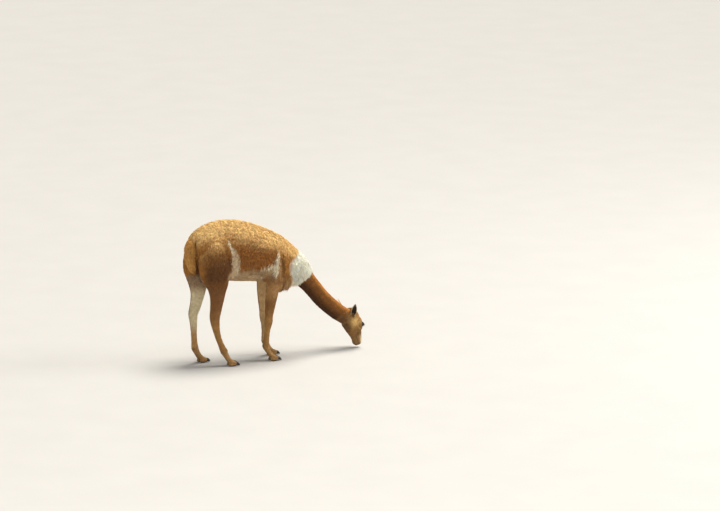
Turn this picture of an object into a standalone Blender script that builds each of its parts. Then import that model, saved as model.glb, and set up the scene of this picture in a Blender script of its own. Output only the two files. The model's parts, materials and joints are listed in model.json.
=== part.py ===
# A vicuna grazing, as a life-size still model in named parts.
# Metres, +Z up. It faces +X with its left side towards +Y and stands on Z = 0.

import math
import random

import bmesh
import bpy
import numpy as np
from mathutils import Matrix, Vector
from mathutils.bvhtree import BVHTree

# Gap kept between neighbouring parts.
GAP = 0.0003
# Grain of the surface while forms are melted together.
BODY_GRAIN = 0.005
HEAD_GRAIN = 0.0025
FOOT_GRAIN = 0.002
RING_SIDES = 28
STEPS_BETWEEN_STATIONS = 4
# Triangles kept in each melted form.
BODY_TRIANGLES = 3500
HEAD_TRIANGLES = 2300
FOOT_TRIANGLES = 280

# Trunk with its wool, from the tail root to the chest: x, top z, bottom z, half width.
TRUNK = (
    (-0.572, 0.790, 0.755, 0.030),
    (-0.557, 0.822, 0.705, 0.070),
    (-0.525, 0.853, 0.640, 0.106),
    (-0.465, 0.885, 0.570, 0.130),
    (-0.380, 0.903, 0.528, 0.139),
    (-0.270, 0.897, 0.508, 0.144),
    (-0.160, 0.868, 0.497, 0.148),
    (-0.060, 0.826, 0.480, 0.144),
    (0.030, 0.777, 0.456, 0.133),
    (0.110, 0.711, 0.430, 0.116),
    (0.170, 0.648, 0.422, 0.098),
    (0.215, 0.588, 0.438, 0.072),
    (0.238, 0.548, 0.475, 0.036),
)

# Neck from inside the chest to inside the skull: x, z, half depth, half width.
NECK = (
    (0.080, 0.600, 0.085, 0.075),
    (0.150, 0.540, 0.078, 0.062),
    (0.235, 0.447, 0.060, 0.049),
    (0.331, 0.332, 0.055, 0.045),
    (0.436, 0.240, 0.054, 0.044),
    (0.500, 0.200, 0.055, 0.044),
    (0.535, 0.180, 0.050, 0.040),
)
NECK_CUT = (0.240, 0.446)
NECK_CUT_WAY = (0.64, 0.0, -0.77)
THROAT_CUT = (0.446, 0.230)
THROAT_CUT_WAY = (0.85, 0.0, -0.53)

# Legs from the hip or shoulder to the fetlock, half depth and half width at each station.
HIND_GIRTH = (
    (0.085, 0.055),
    (0.112, 0.066),
    (0.108, 0.062),
    (0.072, 0.048),
    (0.052, 0.038),
    (0.042, 0.030),
    (0.037, 0.0275),
    (0.032, 0.026),
    (0.0245, 0.0215),
    (0.0205, 0.019),
    (0.020, 0.0185),
    (0.024, 0.0225),
)
FORE_GIRTH = (
    (0.090, 0.048),
    (0.078, 0.050),
    (0.056, 0.043),
    (0.044, 0.035),
    (0.036, 0.030),
    (0.029, 0.0265),
    (0.028, 0.027),
    (0.0205, 0.021),
    (0.0190, 0.0185),
    (0.0225, 0.0225),
)
# The same stations' places for each leg: x, distance out from the midplane, z.
LEG_PATHS = {
    "hind_right": (
        (-0.440, 0.070, 0.770),
        (-0.443, 0.083, 0.680),
        (-0.440, 0.092, 0.590),
        (-0.436, 0.093, 0.505),
        (-0.436, 0.090, 0.440),
        (-0.443, 0.087, 0.375),
        (-0.450, 0.085, 0.325),
        (-0.449, 0.083, 0.288),
        (-0.440, 0.082, 0.235),
        (-0.426, 0.081, 0.185),
        (-0.408, 0.080, 0.138),
        (-0.388, 0.080, 0.093),
    ),
    "hind_left": (
        (-0.460, 0.070, 0.770),
        (-0.470, 0.083, 0.680),
        (-0.470, 0.092, 0.590),
        (-0.479, 0.093, 0.505),
        (-0.484, 0.090, 0.440),
        (-0.496, 0.087, 0.385),
        (-0.509, 0.085, 0.344),
        (-0.520, 0.083, 0.308),
        (-0.518, 0.082, 0.250),
        (-0.517, 0.081, 0.190),
        (-0.515, 0.080, 0.140),
        (-0.511, 0.080, 0.095),
    ),
    "fore_right": (
        (0.020, 0.078, 0.640),
        (-0.015, 0.085, 0.560),
        (-0.050, 0.086, 0.490),
        (-0.064, 0.084, 0.420),
        (-0.074, 0.081, 0.350),
        (-0.081, 0.078, 0.290),
        (-0.084, 0.076, 0.248),
        (-0.090, 0.074, 0.200),
        (-0.095, 0.072, 0.150),
        (-0.099, 0.070, 0.098),
    ),
    "fore_left": (
        (0.025, 0.078, 0.640),
        (-0.005, 0.085, 0.560),
        (-0.032, 0.085, 0.490),
        (-0.042, 0.082, 0.420),
        (-0.044, 0.079, 0.350),
        (-0.044, 0.076, 0.290),
        (-0.043, 0.075, 0.248),
        (-0.042, 0.072, 0.200),
        (-0.041, 0.070, 0.150),
        (-0.040, 0.068, 0.098),
    ),
}
SIDE_OF = {"right": -1.0, "left": 1.0}

# Where each leg is parted: the upper cut's point (x, z) and its lean towards the tail in
# degrees from straight down, then the heights of the two lower cuts.
LEG_CUTS = {
    "hind_right": ((-0.465, 0.590), 30.0, 0.262, 0.105),
    "hind_left": ((-0.485, 0.590), 30.0, 0.280, 0.107),
    "fore_right": ((-0.052, 0.452), 8.0, 0.222, 0.110),
    "fore_left": ((-0.036, 0.452), 8.0, 0.222, 0.110),
}
# Half depth and half width of the region that each upper cut takes.
UPPER_REGION = {"hind": (0.200, 0.100), "fore": (0.085, 0.075)}
MIDLINE_CLEARANCE = 0.002
CANNON_REGION = (0.100, 0.070)

# One toe from the fetlock forwards: forward, out from the foot's middle, height,
# half depth and half width. Each foot has two.
TOE = (
    (-0.004, 0.003, 0.112, 0.020, 0.0150),
    (0.002, 0.005, 0.090, 0.021, 0.0160),
    (0.016, 0.010, 0.062, 0.0165, 0.0140),
    (0.034, 0.0150, 0.036, 0.0160, 0.0135),
    (0.054, 0.0170, 0.022, 0.0150, 0.0135),
    (0.074, 0.0180, 0.015, 0.0120, 0.0115),
)
NAIL = (
    (0.060, 0.0175, 0.0180, 0.0130, 0.0110),
    (0.072, 0.0180, 0.0165, 0.0125, 0.0100),
    (0.084, 0.0180, 0.0125, 0.0095, 0.0075),
    (0.094, 0.0172, 0.0070, 0.0055, 0.0040),
    (0.098, 0.0168, 0.0040, 0.0025, 0.0020),
)
NAIL_START = 0.070
PAD_CENTRE = (0.050, 0.0165, 0.0120)
PAD_RADII = (0.029, 0.0140, 0.0145)
FOOT_TURN_OUT = {"hind": 6.0, "fore": 4.0}

# Tail from its root down: x, z, half depth, half width.
TAIL = (
    (-0.530, 0.808, 0.024, 0.028),
    (-0.560, 0.785, 0.028, 0.033),
    (-0.574, 0.735, 0.032, 0.040),
    (-0.574, 0.680, 0.031, 0.040),
    (-0.564, 0.630, 0.024, 0.030),
    (-0.553, 0.600, 0.008, 0.010),
)

# Head in its own axes: x from the poll to the lips, z towards the forehead, y to its left.
HEAD_POLL = Vector((0.531, 0.0, 0.226))
HEAD_PITCH = 75.0
HEAD_TURN = 10.0
# Stations of the head: x, top z, bottom z, half width.
HEAD = (
    (-0.024, 0.020, -0.054, 0.033),
    (0.006, 0.037, -0.070, 0.042),
    (0.038, 0.046, -0.081, 0.048),
    (0.072, 0.046, -0.081, 0.049),
    (0.100, 0.039, -0.070, 0.042),
    (0.128, 0.031, -0.058, 0.034),
    (0.155, 0.025, -0.048, 0.029),
    (0.182, 0.021, -0.041, 0.0270),
    (0.203, 0.012, -0.037, 0.0235),
    (0.215, -0.004, -0.026, 0.0130),
)
CHEEK = ((0.052, 0.024, -0.040), (0.050, 0.024, 0.038))
UPPER_LIP = ((0.195, 0.0105, -0.005), (0.021, 0.0160, 0.017))
LOWER_LIP = ((0.188, 0.0050, -0.031), (0.022, 0.0160, 0.011))
NOSTRIL = ((0.209, 0.0105, 0.003), (0.0050, 0.0020, 0.0065))
NOSTRIL_SLANT = 35.0
MOUTH_CORNER_X = 0.150
MOUTH_HEIGHT = (-0.024, -0.018)
MOUTH_DEPTH = 0.0018
CLEFT_TOP = 0.001

EYE_AT = (0.080, 0.0440, 0.020)
EYE_RADIUS = 0.0165
EYE_SIDES = 14
EYE_LOOK = (0.05, 1.00, 0.12)
ORBIT_RADII = (0.030, 0.0240, 0.027)
ORBIT_INSET = 0.0095
# Half angles of the opening of the lids, along the eye and across it, in degrees.
LID_OPENING = (54.0, 40.0)
LID_RADIUS = 0.0038
LID_STEPS = 14

# Ear: share of its length, radius of its curl, half angle of its curl in degrees, thickness.
EAR_LENGTH = 0.104
EAR = (
    (0.00, 0.0120, 140.0, 0.0050),
    (0.20, 0.0150, 122.0, 0.0042),
    (0.48, 0.0180, 88.0, 0.0036),
    (0.74, 0.0175, 58.0, 0.0030),
    (0.90, 0.0150, 32.0, 0.0026),
    (1.00, 0.0110, 10.0, 0.0022),
)
EAR_ARC_STEPS = 6
EAR_ROOT = (0.002, 0.030, -0.012)
EAR_WAY = (-0.82, 0.57, -0.05)
EAR_OPENING = (0.40, 0.53, -0.75)

# Fleece: rounded clumps set close over the trunk. Half sizes along the lie of the coat,
# across it and outwards, how far the middle is sunk, and the spacing along and round.
FLEECE_SEED = 11
CLUMP = (0.066, 0.055, 0.0195)
CLUMP_SIDES = 8
CLUMP_RINGS = 5
CLUMP_SINK = 0.0095
CLUMP_SPACING = (0.088, 0.078)
CLUMP_VARIATION = 0.10
CLUMP_X = (-0.520, 0.150)
CLUMP_LOWEST_ANGLE = -28.0
RUMP_CLUMP_ROWS = (0.775, 0.700)
RUMP_CLUMP_OUT = 0.100
FLEECE_DEPTH = 0.006
LIE = Vector((-0.80, 0.0, -0.60))

# Locks: half width, half thickness, how far the root is sunk, and the fullness along one.
LOCK = (0.0210, 0.0060)
LOCK_ROOT = 0.014
LOCK_SHARES = ((0.0, 0.75), (0.35, 1.0), (0.75, 0.65), (1.0, 0.08))
LOCK_SIDES = 5
LOCK_LIFT = 0.16
LOCK_DROOP = 0.6
LOCK_VARIATION = 0.15
LOCK_SCATTER = 5.0
# Bib: the height and length of each row of locks, and the ways they face, in degrees from
# straight ahead as seen from above.
BIB_ROWS = ((0.610, 0.105), (0.545, 0.115), (0.480, 0.080))
BIB_ANGLES = (-74.0, -46.0, -20.0, 20.0, 46.0, 74.0)
BIB_STAGGER = 8.0
BIB_AXIS_X = 0.085
BIB_LEAN = (-0.15, 0.0, -1.0)
NECK_CLEARANCE = 0.012
# Fringes on both sides of the trunk: first and last x, spacing, angle above the level,
# length and lean. They hang under the chest, behind the elbows, at the belly and groin.
FRINGES = (
    (0.050, 0.160, 0.036, -60.0, 0.050, (-0.2, 0.0, -1.0)),
    (-0.205, -0.145, 0.030, -22.0, 0.070, (-0.5, 0.0, -1.0)),
    (-0.290, -0.210, 0.040, -36.0, 0.045, (-0.6, 0.0, -1.0)),
    (-0.325, -0.290, 0.030, -5.0, 0.080, (0.15, 0.0, -1.0)),
)
# Ahead of this x the fringe hides the chest's underside, which is raised by its length.
CHEST_FRINGE_X = 0.0
CHEST_FRINGE = 0.022
# Locks of the tail: heights, and the ways they face in degrees from straight back.
TAIL_LOCK_ROWS = (0.745, 0.690, 0.640)
TAIL_LOCK_ANGLES = (-38.0, 0.0, 38.0)
TAIL_LOCK_LENGTH = 0.050
TAIL_LEAN = (0.1, 0.0, -1.0)

WOOL = (0.56, 0.33, 0.13)
SHORT_HAIR = (0.50, 0.30, 0.12)
HORN = (0.07, 0.055, 0.045)
EYE_BLACK = (0.012, 0.008, 0.006)


def clear_scene():
    for obj in list(bpy.data.objects):
        bpy.data.objects.remove(obj, do_unlink=True)


def material(name, colour, roughness):
    made = bpy.data.materials.new(name)
    made.use_nodes = True
    shader = made.node_tree.nodes["Principled BSDF"]
    shader.inputs["Base Color"].default_value = (*colour, 1.0)
    shader.inputs["Roughness"].default_value = roughness
    shader.inputs["Metallic"].default_value = 0.0
    return made


def new_object(name, mesh):
    obj = bpy.data.objects.new(name, mesh)
    bpy.context.scene.collection.objects.link(obj)
    return obj


def mesh_object(name, points, faces):
    mesh = bpy.data.meshes.new(name)
    mesh.from_pydata([tuple(p) for p in points], [], faces)
    return new_object(name, mesh)


def remove(*objects):
    for obj in objects:
        bpy.data.objects.remove(obj, do_unlink=True)


def bake_modifiers(obj):
    """Makes the object's evaluated shape its own mesh."""
    graph = bpy.context.evaluated_depsgraph_get()
    mesh = bpy.data.meshes.new_from_object(obj.evaluated_get(graph))
    obj.modifiers.clear()
    obj.data = mesh
    return obj


def smooth_table(stations, steps=STEPS_BETWEEN_STATIONS):
    """The rows of a table with Catmull-Rom rows put between them."""
    rows = np.array(stations, float)
    padded = np.vstack([2 * rows[0] - rows[1], rows, 2 * rows[-1] - rows[-2]])
    found = []
    for i in range(len(rows) - 1):
        before, here, there, after = padded[i : i + 4]
        for t in np.arange(steps) / steps:
            found.append(
                0.5
                * (
                    2 * here
                    + (there - before) * t
                    + (2 * before - 5 * here + 4 * there - after) * t**2
                    + (3 * here - before - 3 * there + after) * t**3
                )
            )
    found.append(rows[-1])
    return np.array(found)


def tube(name, rings):
    """A closed tube through rings of points, each end closed on its own middle."""
    sides = len(rings[0])
    points = [p for ring in rings for p in ring]
    faces = []
    for r in range(len(rings) - 1):
        for s in range(sides):
            t = (s + 1) % sides
            low, high = r * sides, (r + 1) * sides
            faces.append((low + s, low + t, high + t, high + s))
    for ring, turned in ((0, True), (len(rings) - 1, False)):
        centre = len(points)
        points.append(np.mean(rings[ring], axis=0))
        for s in range(sides):
            edge = (ring * sides + s, ring * sides + (s + 1) % sides)
            faces.append((*(reversed(edge) if turned else edge), centre))
    obj = mesh_object(name, points, faces)
    face_outwards(obj)
    return obj


def face_outwards(obj):
    bm = bmesh.new()
    bm.from_mesh(obj.data)
    bmesh.ops.recalc_face_normals(bm, faces=bm.faces)
    if bm.calc_volume(signed=True) < 0:
        bmesh.ops.reverse_faces(bm, faces=bm.faces)
    bm.to_mesh(obj.data)
    bm.free()


def oval_ring(centre, up, side, half_depth, half_width, sides, egg=0.0, square=0.0):
    """One ring. egg widens it above the middle, and square fills its corners."""
    turn = np.linspace(0, 2 * math.pi, sides, endpoint=False)
    c, s = np.cos(turn), np.sin(turn)
    power = 2.0 / (2.0 + square)
    across = np.sign(c) * np.abs(c) ** power * half_width * (1 + egg * s)
    upwards = np.sign(s) * np.abs(s) ** power * half_depth
    return np.array(centre) + across[:, None] * side + upwards[:, None] * up


def upright_form(name, stations, egg=0.0, square=0.0):
    """A form lofted along X from rows of x, top, bottom and half width."""
    up, side = np.array((0.0, 0.0, 1.0)), np.array((0.0, 1.0, 0.0))
    rings = []
    for x, top, bottom, half_width in smooth_table(stations):
        centre = (x, 0.0, (top + bottom) / 2)
        half_depth = (top - bottom) / 2
        rings.append(oval_ring(centre, up, side, half_depth, half_width, RING_SIDES, egg, square))
    return tube(name, rings)


def limb_form(name, centres, girths, sides=RING_SIDES, steps=STEPS_BETWEEN_STATIONS):
    """A form lofted along a path, with rings square to the path."""
    table = smooth_table(np.hstack([np.array(centres), np.array(girths)]), steps)
    path = table[:, :3]
    along = np.gradient(path, axis=0)
    along /= np.linalg.norm(along, axis=1)[:, None]
    rings = []
    for centre, way, (half_depth, half_width) in zip(path, along, table[:, 3:]):
        side = np.array((0.0, 1.0, 0.0)) - way[1] * way
        side /= np.linalg.norm(side)
        up = np.cross(way, side)
        rings.append(oval_ring(centre, up, side, half_depth, half_width, sides))
    return tube(name, rings)


def hoop(name, centres, radius, sides=6):
    """A closed ring of round section through the points."""
    centres = np.array(centres)
    middle = centres.mean(axis=0)
    count = len(centres)
    points, faces = [], []
    for i in range(count):
        way = centres[(i + 1) % count] - centres[i - 1]
        way /= np.linalg.norm(way)
        out = centres[i] - middle
        out -= out.dot(way) * way
        out /= np.linalg.norm(out)
        points.extend(oval_ring(centres[i], out, np.cross(way, out), radius, radius, sides))
        for s in range(sides):
            t = (s + 1) % sides
            here, there = i * sides, ((i + 1) % count) * sides
            faces.append((here + s, here + t, there + t, there + s))
    obj = mesh_object(name, points, faces)
    face_outwards(obj)
    return obj


def from_bmesh(name, bm):
    mesh = bpy.data.meshes.new(name)
    bm.to_mesh(mesh)
    bm.free()
    return new_object(name, mesh)


def ball(name, centre, radii, segments=24):
    bm = bmesh.new()
    bmesh.ops.create_uvsphere(bm, u_segments=segments, v_segments=segments // 2, radius=1.0)
    place = Matrix.Translation(centre) @ Matrix.Diagonal((*radii, 1.0))
    bmesh.ops.transform(bm, matrix=place, verts=bm.verts)
    return from_bmesh(name, bm)


def block(name, matrix, low, high):
    """A block between two corners, in the axes that the matrix gives."""
    bm = bmesh.new()
    bmesh.ops.create_cube(bm, size=1.0)
    size = Vector(high) - Vector(low)
    centre = (Vector(high) + Vector(low)) / 2
    place = matrix @ Matrix.Translation(centre) @ Matrix.Diagonal((*size, 1.0))
    bmesh.ops.transform(bm, matrix=place, verts=bm.verts)
    return from_bmesh(name, bm)


def melt(name, forms, grain, rounds, triangles):
    """Joins overlapping forms into one smooth closed surface of about that many triangles."""
    joined = bmesh.new()
    for form in forms:
        joined.from_mesh(form.data)
    remove(*forms)
    obj = from_bmesh(name, joined)
    remesh = obj.modifiers.new("melt", "REMESH")
    remesh.mode = "VOXEL"
    remesh.voxel_size = grain
    smooth = obj.modifiers.new("smooth", "SMOOTH")
    smooth.factor = 0.5
    smooth.iterations = rounds
    bake_modifiers(obj)
    count = sum(len(p.vertices) - 2 for p in obj.data.polygons)
    thin = obj.modifiers.new("thin", "DECIMATE")
    thin.ratio = min(1.0, triangles / count)
    return bake_modifiers(obj)


def boolean(obj, other, operation):
    """Applies a Boolean and removes the other object."""
    cut = obj.modifiers.new(operation.lower(), "BOOLEAN")
    cut.operation = operation
    cut.solver = "EXACT"
    cut.object = other
    bake_modifiers(obj)
    remove(other)
    return obj


def shells_of(bm):
    left = set(bm.faces)
    while left:
        shell, front = [], [left.pop()]
        while front:
            face = front.pop()
            shell.append(face)
            for near in (n for edge in face.edges for n in edge.link_faces):
                if near in left:
                    left.remove(near)
                    front.append(near)
        yield shell


def shell_volume(shell):
    total = 0.0
    for face in shell:
        a, b, c = (v.co for v in face.verts)
        total += a.dot(b.cross(c)) / 6
    return total


def keep_largest(obj):
    """Drops all but the largest closed surface."""
    bm = bmesh.new()
    bm.from_mesh(obj.data)
    bmesh.ops.triangulate(bm, faces=bm.faces)
    shells = list(shells_of(bm))
    largest = max(shells, key=shell_volume)
    loose = [face for shell in shells if shell is not largest for face in shell]
    bmesh.ops.delete(bm, geom=loose, context="FACES")
    bmesh.ops.delete(bm, geom=[v for v in bm.verts if not v.link_faces], context="VERTS")
    bm.to_mesh(obj.data)
    bm.free()
    return obj


def copy_of(obj, name):
    return new_object(name, obj.data.copy())


def plane_axes(point, way):
    """Axes with Z along a way and X as near to the world's Y as it can be."""
    way = Vector(way).normalized()
    side = Vector((0, 1, 0))
    side = (side - side.dot(way) * way).normalized()
    axes = Matrix((side, way.cross(side), way)).transposed().to_4x4()
    axes.translation = Vector(point)
    return axes


def beyond(obj, name, point, way, region, reach):
    """A copy of what lies past a plane and a gap, inside a region round the point."""
    half_depth, half_width = region
    axes = plane_axes(point, way)
    low, high = (-half_width, -half_depth, GAP), (half_width, half_depth, reach)
    return keep_largest(boolean(copy_of(obj, name), block("cutter", axes, low, high), "INTERSECT"))


def trim(obj, point, way, region, reach):
    """Takes away what lies past a plane, inside a region round the point."""
    half_depth, half_width = region
    axes = plane_axes(point, way)
    low, high = (-half_width, -half_depth, 0.0), (half_width, half_depth, reach)
    return keep_largest(boolean(obj, block("cutter", axes, low, high), "DIFFERENCE"))


def part_off(rest, name, point, way, region, reach):
    piece = beyond(rest, name, point, way, region, reach)
    trim(rest, point, way, region, reach)
    return piece


def swollen(obj):
    """A copy that stands out by the gap, to cut a neighbour clear of it."""
    made = copy_of(obj, "swollen")
    swell = made.modifiers.new("swell", "DISPLACE")
    swell.mid_level = 0.0
    swell.strength = GAP
    return bake_modifiers(made)


def leg_stations(leg):
    girths = HIND_GIRTH if leg.startswith("hind") else FORE_GIRTH
    side = SIDE_OF[leg.split("_")[1]]
    centres = [(x, side * y, z) for x, y, z in LEG_PATHS[leg]]
    return centres, girths


def point_on_leg(leg, z):
    """Where the middle of a leg passes a height."""
    centres = np.array(leg_stations(leg)[0])[::-1]
    return Vector([np.interp(z, centres[:, 2], centres[:, axis]) for axis in range(3)])


def neck_form():
    centres = [(x, 0.0, z) for x, z, _, _ in NECK]
    girths = [(depth, width) for _, _, depth, width in NECK]
    return limb_form("neck", centres, girths)


def body_form():
    """Trunk, neck and legs melted into one surface, less the depth of the coat."""
    core = []
    for x, top, bottom, half_width in TRUNK:
        raised = CHEST_FRINGE if x > CHEST_FRINGE_X else 0.0
        core.append((x, top - FLEECE_DEPTH, bottom + raised, half_width - FLEECE_DEPTH))
    forms = [upright_form("trunk", core, egg=0.02, square=0.15), neck_form()]
    forms += [limb_form(leg, *leg_stations(leg)) for leg in LEG_PATHS]
    return melt("torso", forms, BODY_GRAIN, rounds=14, triangles=BODY_TRIANGLES)


def head_axes():
    turn = Matrix.Rotation(math.radians(HEAD_TURN), 4, "Z")
    pitch = Matrix.Rotation(math.radians(HEAD_PITCH), 4, "Y")
    return Matrix.Translation(HEAD_POLL) @ turn @ pitch


def head_form():
    """The head with the end of the neck, melted into one surface."""
    forms = [upright_form("skull", HEAD, egg=0.12, square=0.2)]
    x, y, z = EYE_AT
    orbit = ((x, y - ORBIT_INSET, z), ORBIT_RADII)
    for side in SIDE_OF.values():
        for (x, y, z), radii in (orbit, CHEEK, UPPER_LIP, LOWER_LIP):
            forms.append(ball("swelling", (x, side * y, z), radii))
    place = head_axes()
    for form in forms:
        form.data.transform(place)
    forms.append(neck_form())
    return melt("whole_head", forms, HEAD_GRAIN, rounds=12, triangles=HEAD_TRIANGLES)


def eye_frame(side):
    """The eye's middle in the head's axes, the way it looks, and two ways square to that."""
    centre = Vector((EYE_AT[0], side * EYE_AT[1], EYE_AT[2]))
    look = Vector((EYE_LOOK[0], side * EYE_LOOK[1], EYE_LOOK[2])).normalized()
    forwards = Vector((1, 0, 0))
    forwards = (forwards - forwards.dot(look) * look).normalized()
    return centre, look, forwards, look.cross(forwards)


def lids(side):
    """The rims of both lids, an almond round the eye."""
    centre, look, forwards, across = eye_frame(side)
    points = []
    for turn in np.linspace(0, 2 * math.pi, LID_STEPS, endpoint=False):
        along_angle = math.radians(LID_OPENING[0]) * math.cos(turn)
        across_angle = math.radians(LID_OPENING[1]) * math.sin(turn)
        opening = math.hypot(along_angle, across_angle)
        sideways = (forwards * along_angle + across * across_angle) / opening
        way = look * math.cos(opening) + sideways * math.sin(opening)
        points.append(np.array(centre + way * EYE_RADIUS))
    return hoop("lids", points, LID_RADIUS)


def mouth_line(surface):
    """A thin tube along the line of the mouth, to cut its groove, on a head in its own axes."""
    back_z, front_z = MOUTH_HEIGHT
    path = []
    for x in np.linspace(MOUTH_CORNER_X, LOWER_LIP[0][0] + 0.012, 7):
        share = (x - MOUTH_CORNER_X) / (UPPER_LIP[0][0] - MOUTH_CORNER_X)
        z = back_z + (front_z - back_z) * min(share, 1.0)
        hit = surface.ray_cast(Vector((x, 0.1, z)), Vector((0, -1, 0)))[0]
        path.append((x, hit.y, z))
    front = surface.ray_cast(Vector((0.3, 0.0, front_z)), Vector((-1, 0, 0)))[0]
    centres = path + [tuple(front)] + [(x, -y, z) for x, y, z in reversed(path)]
    girths = [(MOUTH_DEPTH, MOUTH_DEPTH * 0.6)] * len(centres)
    return limb_form("mouth", centres, girths, sides=6, steps=2)


def cleft(surface):
    """A short upright groove in the middle of the upper lip."""
    centres = []
    for z in np.linspace(MOUTH_HEIGHT[1], CLEFT_TOP, 4):
        hit = surface.ray_cast(Vector((0.3, 0.0, z)), Vector((-1, 0, 0)))[0]
        centres.append(tuple(hit))
    return limb_form("cleft", centres, [(MOUTH_DEPTH, MOUTH_DEPTH * 0.7)] * 4, sides=6, steps=2)


def nostril(side):
    (x, y, z), radii = NOSTRIL
    slit = ball("nostril", (0, 0, 0), radii, segments=10)
    slant = Matrix.Rotation(math.radians(side * NOSTRIL_SLANT), 4, "X")
    slit.data.transform(Matrix.Translation((x, side * y, z)) @ slant)
    return slit


def finish_head(head):
    """Adds the lids and cuts the mouth, lip cleft, nostrils and eye sockets."""
    place = head_axes()
    head.data.transform(place.inverted())
    surface = surface_of(head)
    cutters = [mouth_line(surface), cleft(surface)]
    for side in SIDE_OF.values():
        boolean(head, lids(side), "UNION")
        socket_at = (EYE_AT[0], side * EYE_AT[1], EYE_AT[2])
        cutters.append(nostril(side))
        cutters.append(ball("socket", socket_at, (EYE_RADIUS + GAP,) * 3, segments=EYE_SIDES))
    for cutter in cutters:
        boolean(head, cutter, "DIFFERENCE")
    head.data.transform(place)
    return keep_largest(head)


def eye(side_name):
    x, y, z = EYE_AT
    obj = ball(f"eye_{side_name}", (x, SIDE_OF[side_name] * y, z), (EYE_RADIUS,) * 3, EYE_SIDES)
    obj.data.transform(head_axes())
    return obj


def ear(side):
    """One cupped ear in the head's own axes, its open side at EAR_OPENING."""
    root, way, opening = (Vector((x, side * y, z)) for x, y, z in (EAR_ROOT, EAR_WAY, EAR_OPENING))
    way.normalize()
    opening = (opening - opening.dot(way) * way).normalized()
    across = way.cross(opening)
    rings = []
    for share, radius, half_angle, thick in smooth_table(EAR, steps=2):
        middle = np.array(root + way * float(share * EAR_LENGTH)) + np.array(opening) * radius
        turns = np.radians(np.linspace(-half_angle, half_angle, EAR_ARC_STEPS))[:, None]
        outwards = np.sin(turns) * np.array(across) - np.cos(turns) * np.array(opening)
        outer = middle + radius * outwards
        inner = middle + (radius - thick) * outwards[::-1]
        rings.append(np.vstack([outer, inner]))
    obj = tube("ear", rings)
    obj.data.transform(head_axes())
    return obj


def foot_axes(leg):
    """Axes on the ground under the fetlock, X forwards along the toes."""
    kind, side_name = leg.split("_")
    fetlock = Vector(leg_stations(leg)[0][-1])
    turn = Matrix.Rotation(math.radians(SIDE_OF[side_name] * FOOT_TURN_OUT[kind]), 4, "Z")
    return Matrix.Translation((fetlock.x, fetlock.y, 0.0)) @ turn


def toe_rows(rows, toe_side):
    centres = [(x, toe_side * y, z) for x, y, z, _, _ in rows]
    girths = [(depth, width) for *_, depth, width in rows]
    return centres, girths


def foot_and_nails(leg, cut_z):
    """The pastern and its two toes as one form, and the two nails."""
    axes = foot_axes(leg)
    centres, girths = leg_stations(leg)
    forms = []
    for toe_side in (-1, 1):
        x, y, z = PAD_CENTRE
        forms.append(limb_form("toe", *toe_rows(TOE, toe_side), sides=16))
        forms.append(ball("pad", (x, toe_side * y, z), PAD_RADII, segments=16))
    for form in forms:
        form.data.transform(axes)
    forms.append(limb_form("shank", centres[-4:], girths[-4:]))
    foot = melt(f"{leg}_foot", forms, FOOT_GRAIN, rounds=5, triangles=FOOT_TRIANGLES)
    region, reach = (0.2, 0.2), 0.3
    under = block("cutter", axes, (-0.2, -0.2, -0.1), (0.2, 0.2, 0.0))
    boolean(foot, under, "DIFFERENCE")
    foot = trim(foot, point_on_leg(leg, cut_z - GAP), (0, 0, 1), region, reach)
    front = axes @ Vector((NAIL_START, 0.0, 0.0))
    ahead = axes.to_3x3() @ Vector((1, 0, 0))
    trim(foot, front, ahead, region, reach)
    nails = []
    for toe_side, word in ((-1, "outer"), (1, "inner")):
        whole = limb_form("nail", *toe_rows(NAIL, toe_side), sides=8, steps=1)
        whole.data.transform(axes)
        if leg.endswith("left"):
            word = {"outer": "inner", "inner": "outer"}[word]
        boolean(whole, block("cutter", axes, (-0.2, -0.2, -0.1), (0.2, 0.2, 0.0)), "DIFFERENCE")
        nails.append(beyond(whole, f"{leg}_nail_{word}", front, ahead, region, reach))
        remove(whole)
    return foot, nails


def surface_of(obj):
    bm = bmesh.new()
    bm.from_mesh(obj.data)
    surface = BVHTree.FromBMesh(bm)
    bm.free()
    return surface


def outside_hit(surface, inner, way):
    """The point and normal where a line from outside first meets the surface."""
    way = Vector(way).normalized()
    return surface.ray_cast(Vector(inner) + way, -way)[:2]


def along_surface(way, normal):
    return (way - way.dot(normal) * normal).normalized()


def clump(point, normal, size):
    """A flattened dome that lies along the coat."""
    lie = along_surface(LIE, normal)
    along, across, out = (size * half for half in CLUMP)
    axes = Matrix((lie * along, normal.cross(lie) * across, normal * out)).transposed().to_4x4()
    axes.translation = point - normal * CLUMP_SINK
    bm = bmesh.new()
    bmesh.ops.create_uvsphere(bm, u_segments=CLUMP_SIDES, v_segments=CLUMP_RINGS, radius=1.0)
    bmesh.ops.transform(bm, matrix=axes, verts=bm.verts)
    return from_bmesh("clump", bm)


def trunk_middle(x):
    """The middle of the trunk where it passes x."""
    stations = np.array(TRUNK)
    middles = (stations[:, 1] + stations[:, 2]) / 2
    return Vector((x, 0.0, float(np.interp(x, stations[:, 0], middles))))


def round_trunk(side, angle):
    """A way out from the trunk's middle, at an angle above the level."""
    turned = math.radians(angle)
    return Vector((0.0, side * math.cos(turned), math.sin(turned)))


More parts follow.
